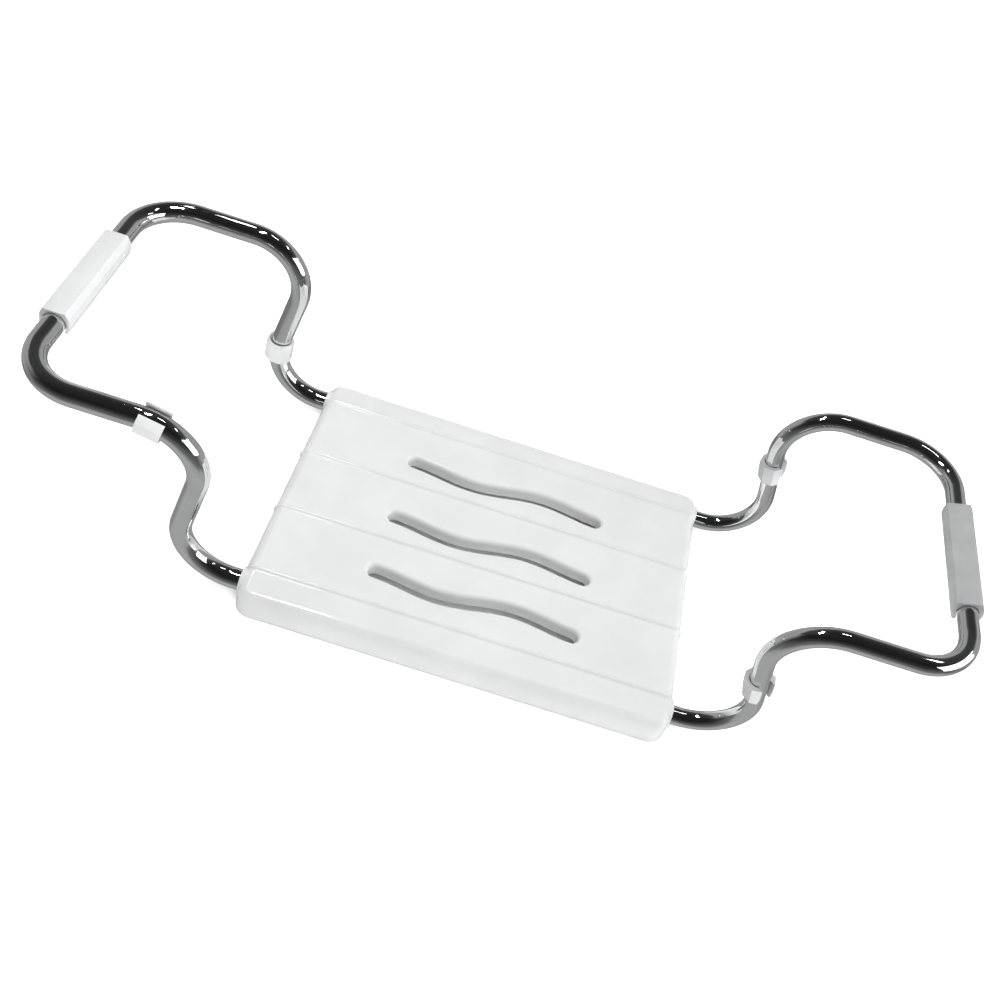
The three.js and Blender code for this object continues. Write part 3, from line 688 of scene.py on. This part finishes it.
sides = (("near", -1), ("far", 1))
for side_name, side in sides:
    plug = solid(side_name + "_plug", lambda mesh: leg_plug(mesh, side))
    finish_piece(plug, satin_grey, "grey_plastic", "sliding_frame", side_name + "_leg_plug")
    bush = solid(side_name + "_bush", lambda mesh: guide_bush(mesh, side))
    finish_piece(bush, nylon, "white_nylon", "board", side_name + "_guide_bush")

# Saddles
# White nylon straps bent under the thicker legs. Each is held up to the seat by two
# cross-head screws in moulded bosses.
saddle_wall = 2.2 * MM
saddle_length = 16 * MM
screw_radius = 1.5 * MM
screw_grip = 9.2 * MM
screw_head_radius = 2.8 * MM
screw_head_height = 1.8 * MM


def saddle_outline():
    """Section of a saddle: a half round with a flat flange each side."""
    inner = outer_tube_radius + fit_gap
    outer = inner + saddle_wall
    flange = boss_offset + boss_radius
    dip = math.asin(saddle_wall / outer)
    outline = [(flange, 0), (inner, 0)]
    outline += [(inner * math.cos(a), inner * math.sin(a)) for a in (-math.pi * i / 24 for i in range(1, 24))]
    outline += [(-inner, 0), (-flange, 0), (-flange, -saddle_wall)]
    turn = math.pi - 2 * dip
    for i in range(25):
        angle = math.pi + dip + turn * i / 24
        outline.append((outer * math.cos(angle), outer * math.sin(angle)))
    return outline + [(flange, -saddle_wall)]


def round_edges(piece, width, segments=2, angle=40):
    """Rounds a piece's sharp edges."""
    step = piece.modifiers.new("edges", "BEVEL")
    step.width = width
    step.segments = segments
    step.angle_limit = math.radians(angle)
    step.use_clamp_overlap = True
    return bake_modifiers(piece)


def saddle_holes(mesh, x, y):
    """Clearance holes for the two screws of a saddle."""
    for across in (-boss_offset, boss_offset):
        add_turning(mesh, rod(pilot_radius, 0, plate_top), upright(x, y + across), 24)


for side_name, side in sides:
    for end_name, x in zip(("left", "right"), saddle_places):
        saddle = solid(f"{side_name}_{end_name}_strap", lambda mesh: add_prism(
            mesh, saddle_outline(),
            lambda u, v, end: Vector((x + saddle_length * (end - 0.5), side * leg_y + u, leg_z + v))))
        holes = solid("screw_holes", lambda mesh: saddle_holes(mesh, x, side * leg_y))
        join_or_cut(saddle, holes)
        round_edges(saddle, edge_round)
        finish_piece(saddle, nylon, "white_nylon", "board", f"{side_name}_{end_name}_saddle")

# Screws
# Zinc-plated pan heads with a cross recess. Eight hold the saddles, and two larger ones are
# the stops that run in the long slots of the sliding legs.
cross_arm_share = 0.16
cross_reach_share = 0.62
cross_depth_share = 0.55
cross_mouth_share = 0.2
cross_taper = 0.3
head_rim_share = 0.35
head_steps = 8
stop_screw_radius = 2 * MM
stop_screw_grip = 6.2 * MM
stop_head_radius = 3.5 * MM
stop_head_height = 2 * MM


def screw_tree():
    """Node tree that stands a copy of one screw on every point of a mesh."""
    inputs = (("Places", "Geometry"), ("Screw", "Object"), ("Finish", "Material"))
    tree, given, points, screw, copies, real = new_tree("screws_on_points", inputs, (
        "GeometryNodeMeshToPoints", "GeometryNodeObjectInfo", "GeometryNodeInstanceOnPoints"))
    wire(tree, (given, "Places", points, "Mesh"), (given, "Screw", screw, "Object"),
         (points, "Points", copies, "Points"), (screw, "Geometry", copies, "Instance"),
         (copies, "Instances", real, "Geometry"))
    return tree


def one_screw(radius, grip, head_radius, head_height):
    """A screw that points up, its head below, with a domed face and a cross recess."""
    profile = [(0, -head_height)]
    for i in range(1, head_steps + 1):
        angle = math.pi / 2 * i / head_steps
        dome = head_rim_share + (1 - head_rim_share) * math.cos(angle)
        profile.append((head_radius * math.sin(angle), -head_height * dome))
    profile += [(head_radius, 0), (radius, 0), (radius, grip - radius), (0, grip)]
    screw = solid("one_screw", lambda mesh: add_turning(mesh, profile, upright(0, 0), 36))

    def cross(mesh):
        arm, reach = head_radius * cross_arm_share, head_radius * cross_reach_share
        outline = []
        for quarter in range(4):
            turn = Matrix.Rotation(math.pi / 2 * quarter, 2)
            outline += [turn @ Vector(p) for p in ((reach, -arm), (reach, arm), (arm, arm))]

        def place(u, v, end):
            narrow = 1 - cross_taper * end
            deep = (cross_mouth_share + cross_depth_share) * end - cross_mouth_share - 1
            return Vector((u * narrow, v * narrow, head_height * deep))

        add_prism(mesh, [(p.x, p.y) for p in outline], place)

    return join_or_cut(screw, solid("cross", cross))


def screws(name, places, sizes, nodes):
    """All the screws of one size, as one piece."""
    points = bpy.data.meshes.new(name)
    points.from_pydata(places, [], [])
    piece = bpy.data.objects.new(name, points)
    bpy.context.scene.collection.objects.link(piece)
    master = one_screw(*sizes)
    run_tree(piece, screws_on_points, screw=master, finish=zinc)
    bpy.data.objects.remove(master)
    return finish_piece(piece, zinc, "zinc_steel", "board", *nodes)


zinc = noise_finish(
    "bright_zinc", (0.56, 0.57, 0.58), (0.68, 0.69, 0.7), (0.22, 0.36), scale=200, grain=0.05,
    grain_scale=1500, metallic=1.0)
screws_on_points = screw_tree()
saddle_screw_places = [
    (x, side * leg_y + across, leg_z - saddle_wall - fit_gap)
    for side in (-1, 1) for x in saddle_places for across in (-boss_offset, boss_offset)]
saddle_screw_nodes = [
    f"{side_name}_{end_name}_saddle_screw_{number}"
    for side_name in ("near", "far") for end_name in ("left", "right") for number in (1, 2)]
screws("saddle_screws", saddle_screw_places,
       (screw_radius, screw_grip, screw_head_radius, screw_head_height), saddle_screw_nodes)
stop_places = [(stop_screw_x, side * leg_y, leg_z - outer_tube_radius - fit_gap) for side in (-1, 1)]
screws("stop_screws", stop_places,
       (stop_screw_radius, stop_screw_grip, stop_head_radius, stop_head_height),
       ["near_stop_screw", "far_stop_screw"])

# Clamp screws
# A chromed nut welded to each thicker leg holds a zinc-plated stud. A brass pad on its tip
# presses on the sliding leg, and a grey lobed knob turns it.
clamp_stud_radius = 3 * MM
clamp_nut_radius = 6 * MM
clamp_nut_height = 8 * MM
clamp_pad_thickness = 2 * MM
knob_radius = 8.25 * MM
knob_height = 11 * MM
knob_lobes = 8
knob_groove_share = 0.1
knob_stand_off = 0.6 * MM
knob_socket = 8 * MM
knob_edge = 1.4 * MM
knob_edge_steps = 6
knob_steps = 96
thread_pitch = 1 * MM
thread_depth = 0.25 * MM
tube_face = leg_y - outer_tube_radius
pad_outer = leg_y - inner_tube_radius - fit_gap
pad_inner = pad_outer - clamp_pad_thickness
nut_inner = tube_face - clamp_nut_height
knob_face = nut_inner - knob_stand_off
knob_back = knob_face - knob_height
stud_end = knob_face - knob_socket
brass = noise_finish(
    "turned_brass", (0.62, 0.47, 0.2), (0.74, 0.58, 0.28), (0.22, 0.34), scale=150, grain=0.04, metallic=1.0)


def clamp_place(side):
    """Turns (across, up, distance from the middle) into a place on one side's clamp axis."""
    return lambda u, v, y: Vector((clamp_x + u, side * y, leg_z + v))


def lobed_knob(mesh, side):
    """A knob with eight soft lobes, rounded over at both faces."""
    layers = []
    for i in range(knob_edge_steps + 1):
        angle = math.pi / 2 * i / knob_edge_steps
        layers.append((knob_edge * (1 - math.sin(angle)), knob_back + knob_edge * (1 - math.cos(angle))))
    layers += [(inset, knob_face + knob_back - y) for inset, y in reversed(layers)]
    rings = []
    for inset, y in layers:
        ring = []
        for i in range(knob_steps):
            angle = math.tau * i / knob_steps
            groove = knob_groove_share / 2 * (1 - math.cos(knob_lobes * angle))
            reach = knob_radius * (1 - groove) - inset
            ring.append(mesh.verts.new(clamp_place(side)(reach * math.cos(angle), reach * math.sin(angle), y)))
        rings.append(ring)
    for first, second in zip(rings, rings[1:]):
        bridge_rings(mesh, first, second)
    mesh.faces.new(rings[0])
    mesh.faces.new(rings[-1])


def clamp_stud(mesh, side):
    """A rod with shallow threads all along it."""
    tip = pad_inner - fit_gap
    profile = [(0, stud_end), (clamp_stud_radius - thread_depth, stud_end)]
    turns = int((tip - stud_end) / thread_pitch)
    pitch = (tip - stud_end) / turns
    for k in range(turns):
        profile.append((clamp_stud_radius, stud_end + (k + 0.5) * pitch))
        profile.append((clamp_stud_radius - thread_depth, stud_end + (k + 1) * pitch))
    profile.append((0, tip))
    add_turning(mesh, profile, clamp_place(side), 32)


for side_name, side in sides:
    place = clamp_place(side)
    nut = solid(side_name + "_nut", lambda mesh: add_turning(mesh, [
        (0, nut_inner), (clamp_nut_radius - edge_round, nut_inner), (clamp_nut_radius, nut_inner + edge_round),
        (clamp_nut_radius, tube_face + clamp_stud_radius), (0, tube_face + clamp_stud_radius)], place, 48))
    bore = clamp_stud_radius + fit_gap
    nut_bore = solid("nut_bore", lambda mesh: add_turning(mesh, rod(bore, knob_back, leg_y), place, 32))
    join_or_cut(nut, nut_bore)
    hug = outer_tube_radius + fit_gap
    leg_bore = solid("leg_bore", lambda mesh: add_turning(
        mesh, rod(hug, clamp_x - hug, clamp_x + hug), along_leg(side), 64))
    join_or_cut(nut, leg_bore)
    finish_piece(nut, chrome, "chrome_tube", "board", side_name + "_clamp_nut")

    pad_radius = clamp_stud_radius - fit_gap
    pad = solid(side_name + "_pad", lambda mesh: add_turning(mesh, [
        (0, pad_inner), (pad_radius - edge_round, pad_inner), (pad_radius, pad_inner + edge_round),
        (pad_radius, pad_outer - edge_round), (pad_radius - edge_round, pad_outer), (0, pad_outer)], place, 32))
    finish_piece(pad, brass, "brass", side_name + "_pad", side_name + "_clamp_pad")

    stud = solid(side_name + "_stud", lambda mesh: clamp_stud(mesh, side))
    finish_piece(stud, zinc, "zinc_steel", side_name + "_knob", side_name + "_clamp_stud")

    knob = solid(side_name + "_knob", lambda mesh: lobed_knob(mesh, side))
    socket = solid("knob_socket", lambda mesh: add_turning(
        mesh, rod(bore, stud_end - fit_gap, leg_y), place, 32))
    join_or_cut(knob, socket)
    finish_piece(knob, satin_grey, "grey_plastic", side_name + "_knob", side_name + "_clamp_knob")

# Hand grips
# Stiff grained ABS channels that snap down over the crossbars. Each has a flat top, sides that
# spread and turn in, and an arch that hugs the tube. The right one leans, and its finish is a
# darker copy of the white ABS: painted shade.
grip_length = 110 * MM
grip_shift = 1.5 * MM
grip_top_half = 9.1 * MM
grip_shoulder_half = 11.6 * MM
grip_shoulder_drop = 5.4 * MM
grip_half = 12.3 * MM
grip_widest_drop = 1.4 * MM
grip_lip_half = 10.2 * MM
grip_lip_drop = 8.2 * MM
grip_mouth_half = 7 * MM
grip_wall = 2 * MM
grip_corner = 0.9 * MM
grip_arch_start = math.radians(-25)
grip_leans = (0.0, math.radians(18))


def soften(corners, radius, steps=4):
    """An open run of points with each corner between its two ends rounded off."""
    points = [Vector(p) for p in corners]
    softened = [points[0]]
    for before, corner, after in zip(points, points[1:], points[2:]):
        back, on = before - corner, after - corner
        reach = min(radius, back.length * 0.45, on.length * 0.45)
        start, end = corner + back.normalized() * reach, corner + on.normalized() * reach
        for k in range(steps + 1):
            t = k / steps
            softened.append(start * (1 - t) ** 2 + corner * 2 * t * (1 - t) + end * t * t)
    return [(p.x, p.y) for p in softened + [points[-1]]]


def grip_outline(tube_radius, arch_steps=40):
    """Section of a grip over its tube, as (across, up)."""
    top = tube_radius + fit_gap + grip_wall
    arch = []
    for i in range(arch_steps + 1):
        angle = math.pi - grip_arch_start - (math.pi - 2 * grip_arch_start) * i / arch_steps
        arch.append(((tube_radius + fit_gap) * math.cos(angle), (tube_radius + fit_gap) * math.sin(angle)))
    right = [
        arch[-1],
        (grip_mouth_half, -grip_lip_drop),
        (grip_lip_half, -grip_lip_drop),
        (grip_half, -grip_widest_drop),
        (grip_shoulder_half, top - grip_shoulder_drop),
        (grip_top_half, top),
    ]
    return soften(right + [(-u, v) for u, v in reversed(right)], grip_corner) + arch[1:-1]


grained_abs = noise_finish(
    "grained_white_abs", (0.74, 0.745, 0.75), (0.8, 0.805, 0.81), (0.2, 0.3), scale=60, grain=0.5)
# A darker copy of the grained white ABS: painted shade on the right grip, not a different plastic.
shaded_grip_abs = noise_finish(
    "light_grey_abs", (0.44, 0.445, 0.45), (0.5, 0.505, 0.51), (0.2, 0.3), scale=60, grain=0.6)
# The right grip takes the darker copy of the white ABS, which is painted shade.
for name, side, tube_radius, lean, finish, body in (
        ("left", -1, outer_tube_radius, grip_leans[0], grained_abs, "board"),
        ("right", 1, inner_tube_radius, grip_leans[1], shaded_grip_abs, "sliding_frame")):
    across, up = Vector((math.cos(lean), 0, math.sin(lean))), Vector((-math.sin(lean), 0, math.cos(lean)))
    grip = solid(name + "_hand_grip", lambda mesh: add_prism(
        mesh, grip_outline(tube_radius), lambda u, v, end: across * u + up * v + Vector(
            (side * crossbar_x, grip_length * (end - 0.5) - grip_shift, run_z))))
    round_edges(grip, edge_round, segments=3)
    finish_piece(grip, finish, "white_abs", body, name + "_grip")

# Rim clips
# Four open white ABS clips that pad the frames where they meet the bath. Each is eight-sided,
# with a round bore and a mouth. The two on the thinner tube taper to the foot, and their finish
# is a darker copy of the white ABS: painted shade.
clip_length = 20 * MM
clip_face = 12 * MM
clip_faces = 8
clip_slack = 1.2 * MM
right_clip_slack = 0.5 * MM
clip_mouth_half = 6.2 * MM
clip_foot_face = 10.6 * MM
clip_taper = 11 * MM
clip_corner = 0.5 * MM
left_clip_angles = (math.radians(13.6), math.radians(10))
left_near_clip_lean = math.radians(-3)
right_clip_rises = (76.7 * MM, 90 * MM)
right_clip_headings = (math.radians(-48), math.radians(-20))
# A darker copy of the white ABS for the tapered clips: painted shade, not a different plastic.
shaded_clip_abs = noise_finish(
    "pale_grey_abs", (0.5, 0.505, 0.51), (0.55, 0.555, 0.56), (0.2, 0.3), scale=60, grain=0.05)


def clip_outline(bore, arc_steps=40):
    """Section of a clip, its mouth towards +u."""
    corner = clip_face * math.tan(math.pi / clip_faces)
    opening = math.asin(clip_mouth_half / bore)
    turn = math.tau - 2 * opening
    angles = [-opening - turn * i / arc_steps for i in range(arc_steps + 1)]
    arc = [(bore * math.cos(angle), bore * math.sin(angle)) for angle in angles]
    upper = [arc[-1], (clip_face + corner - clip_mouth_half, clip_mouth_half)]
    upper += [(corner, clip_face), (-corner, clip_face), (-clip_face, corner)]
    return soften(upper + [(u, -v) for u, v in reversed(upper)], clip_corner) + arc[1:-1]


def clip_piece(name, centre, tangent, towards, bore, tapered, body):
    """A clip at a place on a tube, its mouth turned towards a direction."""
    mouth = (towards - tangent * towards.dot(tangent)).normalized()
    across = tangent.cross(mouth)
    piece = solid(name + "_pad", lambda mesh: add_prism(
        mesh, clip_outline(bore),
        lambda u, v, end: centre + mouth * u + across * v + tangent * clip_length * (end - 0.5)))
    if tapered:
        corner_share = 1 / math.cos(math.pi / clip_faces)
        low = clip_foot_face * corner_share
        high = low + (clip_face - clip_foot_face) * corner_share * clip_length / clip_taper
        half = clip_length / 2
        ends = [(0, -half), (low, -half), (high, half), (0, half)]
        half_turn = Matrix.Rotation(math.pi / clip_faces, 3, tangent)
        cone = solid("cone", lambda mesh: add_turning(
            mesh, ends, lambda u, v, d: centre + half_turn @ (mouth * u + across * v) + tangent * d, clip_faces))
        join_or_cut(piece, cone, "INTERSECT")
    round_edges(piece, edge_round, segments=3, angle=25)
    # Tapered clips take the darker copy of the white ABS, which is painted shade.
    return finish_piece(piece, shaded_clip_abs if tapered else glossy_abs, "white_abs", body, name)


def bend_place(before, corner, after, radius, share):
    """Place and direction on a bend, at an angle from its start."""
    into, out = (corner - before).normalized(), (after - corner).normalized()
    turn = into.angle(out)
    angle = share if share >= 0 else turn + share
    entry = corner - into * radius * math.tan(turn / 2)
    inward = (out - into * math.cos(turn)).normalized()
    centre = entry + inward * radius
    point = centre - inward * radius * math.cos(angle) + into * radius * math.sin(angle)
    tangent = (into * math.cos(angle) + inward * math.sin(angle)).normalized()
    sagitta = radius - math.sqrt(radius ** 2 - clip_length ** 2 / 4)
    return point.lerp(centre, sagitta / 2 / radius), tangent


left_corners = frame_corners(-1, mouth_x)
near_place, near_tangent = bend_place(*left_corners[1:4], bend_radii[1], -left_clip_angles[0])
left_bore = outer_tube_radius + clip_slack
near_mouth = Vector((0, math.sin(left_near_clip_lean), math.cos(left_near_clip_lean)))
clip_piece("left_near_rim_clip", near_place, near_tangent, near_mouth, left_bore, False, "left_near_clip")
far_place, far_tangent = bend_place(*left_corners[5:8], bend_radii[0], left_clip_angles[1])
clip_piece("left_far_rim_clip", far_place, far_tangent, Vector((0, 1, 0)), left_bore, False, "left_far_clip")
for (side_name, side), rise, heading in zip(sides, right_clip_rises, right_clip_headings):
    foot = Vector((riser_foot_x, side * leg_y, leg_z))
    tangent = (Vector((riser_head_x, side * run_y, run_z)) - foot).normalized()
    clip_piece(f"right_{side_name}_rim_clip", foot + tangent * rise, tangent,
               Vector((math.cos(heading), math.sin(heading), 0)), inner_tube_radius + right_clip_slack, True,
               f"right_{side_name}_clip")

# Studio
# A plain white floor and backdrop, soft fills in front and behind, a window to the right and
# small lamps overhead that leave crisp highlights. A wash lights the floor alone, two lamps
# light the clips alone, and the chrome mirrors a dim room.
floor_size = 4.2
backdrop_tone = 2.0
floor = solid("floor", lambda mesh: bmesh.ops.create_grid(mesh, size=floor_size / 2))
paper = noise_finish("white_paper", (0.88, 0.88, 0.88), (0.9, 0.9, 0.9), (0.85, 0.95), scale=3)
floor.data.materials.append(paper)
floor.visible_glossy = False


def soft_box(name, place, target, width, height, power, mirrored=True):
    """A rectangular lamp that faces a target; a fill lamp isn't mirrored in the chrome."""
    lamp = bpy.data.lights.new(name, "AREA")
    lamp.shape = "RECTANGLE"
    lamp.size = width
    lamp.size_y = height
    lamp.energy = power
    box = bpy.data.objects.new(name, lamp)
    box.location = place
    box.rotation_mode = "QUATERNION"
    box.rotation_quaternion = (Vector(target) - Vector(place)).to_track_quat("-Z", "Y")
    box.visible_glossy = mirrored
    bpy.context.scene.collection.objects.link(box)
    return box


soft_box("front_fill", (0.3, -0.9, 2.0), (0, 0, 0), 1.4, 1.4, 19, mirrored=False)
soft_box("back_fill", (0.3, 1.0, 1.9), (0, 0, 0), 0.9, 0.9, 13, mirrored=False)
soft_box("window", (2.1, -0.35, 0.75), (0, 0, 0.1), 1.8, 1.3, 18)
soft_box("left_lamp", (-0.27, 0.05, 1.0), (-0.15, 0, 0), 0.24, 0.06, 3)
soft_box("far_left_lamp", (-0.74, 0.8, 2.0), (0, 0, 0), 0.12, 0.12, 1)
skylight_reach = 2.2
for number, slant in enumerate((6, 31, 56)):
    slant = math.radians(slant)
    skylight = (0.2 + skylight_reach * math.sin(slant), 0.55, skylight_reach * math.cos(slant))
    soft_box(f"skylight_{number}", skylight, (0.2, 0, 0), 0.5, 0.1, 1.2)
floor_wash = soft_box("floor_wash", (0, 0.6, 3.0), (0, 0.6, 0), 4, 4, 165, mirrored=False)


def group(name, *members):
    """A collection of objects, for a lamp that lights or is shaded by them alone."""
    collection = bpy.data.collections.new(name)
    for member in members:
        collection.objects.link(member)
    return collection


floor_wash.light_linking.receiver_collection = group("washed", floor)
floor_wash.light_linking.blocker_collection = group("shading", seat)
for end_name, place, target, power in (
        ("left", (-0.4, -0.7, 1.5), (-0.25, 0, 0.1), 3), ("right", (1.35, -1.1, 0.6), (0.24, 0, 0.1), 23)):
    clip_lamp = soft_box(end_name + "_clip_lamp", place, target, 0.3, 0.3, power, mirrored=False)
    clip_lamp.light_linking.receiver_collection = group(end_name + "_clips", *(
        bpy.data.objects[f"{end_name}_{side_name}_rim_clip_pad"] for side_name in ("near", "far")))

# Tones of the room from straight down (0) to straight up (1), each as (height, tone).
front_tones = [
    (0.0, 0.4), (0.12, 0.42), (0.22, 0.36), (0.3, 0.16), (0.45, 0.1), (0.58, 0.04), (0.8, 0.012), (1.0, 0.02)]
back_tones = [
    (0.0, 0.34), (0.14, 0.34), (0.25, 0.16), (0.36, 0.4), (0.5, 0.34), (0.69, 0.36), (0.77, 0.06), (1.0, 0.015)]
clutter_scale = 2.5
clutter_height = 0.35
height_span = (-0.83, 1.17)
turn_span = (-0.35, 0.25)
world = bpy.data.worlds.new("dim_room")
world.use_nodes = True
bpy.context.scene.world = world
room = world.node_tree
look = add_node(room, "TexCoord")
split = add_node(room, "SeparateXYZ")
clutter = add_node(room, "TexNoise", Scale=clutter_scale, Detail=3)
wobble = add_node(room, "Math")
wobble.operation = "MULTIPLY_ADD"
wobble.inputs[1].default_value = clutter_height
rise = add_node(room, "MapRange", From_Min=height_span[0], From_Max=height_span[1])
side = add_node(room, "MapRange", From_Min=turn_span[0], From_Max=turn_span[1])
front, back = add_node(room, "ValToRGB"), add_node(room, "ValToRGB")
for ramp, tones in ((front, front_tones), (back, back_tones)):
    set_ramp(ramp, [(height, (tone,) * 3) for height, tone in tones])
halves, backdrop = add_node(room, "Mix"), add_node(room, "Mix")
halves.data_type = backdrop.data_type = "RGBA"
backdrop.inputs["B"].default_value = (backdrop_tone, backdrop_tone, backdrop_tone, 1)
seen = add_node(room, "LightPath")
wire(room, (look, "Generated", split, "Vector"), (look, "Generated", clutter, "Vector"),
     (clutter, "Fac", wobble, 0), (split, "Z", wobble, 2), (wobble, "Value", rise, "Value"),
     (split, "Y", side, "Value"), (side, "Result", halves, "Factor"),
     (rise, "Result", front, "Fac"), (rise, "Result", back, "Fac"),
     (front, "Color", halves, "A"), (back, "Color", halves, "B"),
     (seen, "Is Camera Ray", backdrop, "Factor"), (halves, "Result", backdrop, "A"),
     (backdrop, "Result", room.nodes["Background"], "Color"))

camera_place = Vector((-0.02944, -0.66821, 0.78912))
camera_pitch = 0.8167
camera_yaw = 0.0422
camera_roll = 0.3374
focal_share = 1134.84 / 1001
ahead = Vector((
    math.sin(camera_yaw) * math.cos(camera_pitch), math.cos(camera_yaw) * math.cos(camera_pitch),
    -math.sin(camera_pitch)))
level_right = Vector((math.cos(camera_yaw), -math.sin(camera_yaw), 0))
level_down = ahead.cross(level_right)
right = level_right * math.cos(camera_roll) - level_down * math.sin(camera_roll)
down = level_right * math.sin(camera_roll) + level_down * math.cos(camera_roll)
lens = bpy.data.cameras.new("photo_view")
lens.sensor_width = 36
lens.lens = focal_share * lens.sensor_width
camera = bpy.data.objects.new("photo_view", lens)
camera.matrix_world = Matrix((right, -down, -ahead)).transposed().to_4x4()
camera.location = camera_place
bpy.context.scene.collection.objects.link(camera)
bpy.context.scene.camera = camera
bpy.context.scene.view_settings.view_transform = "Standard"
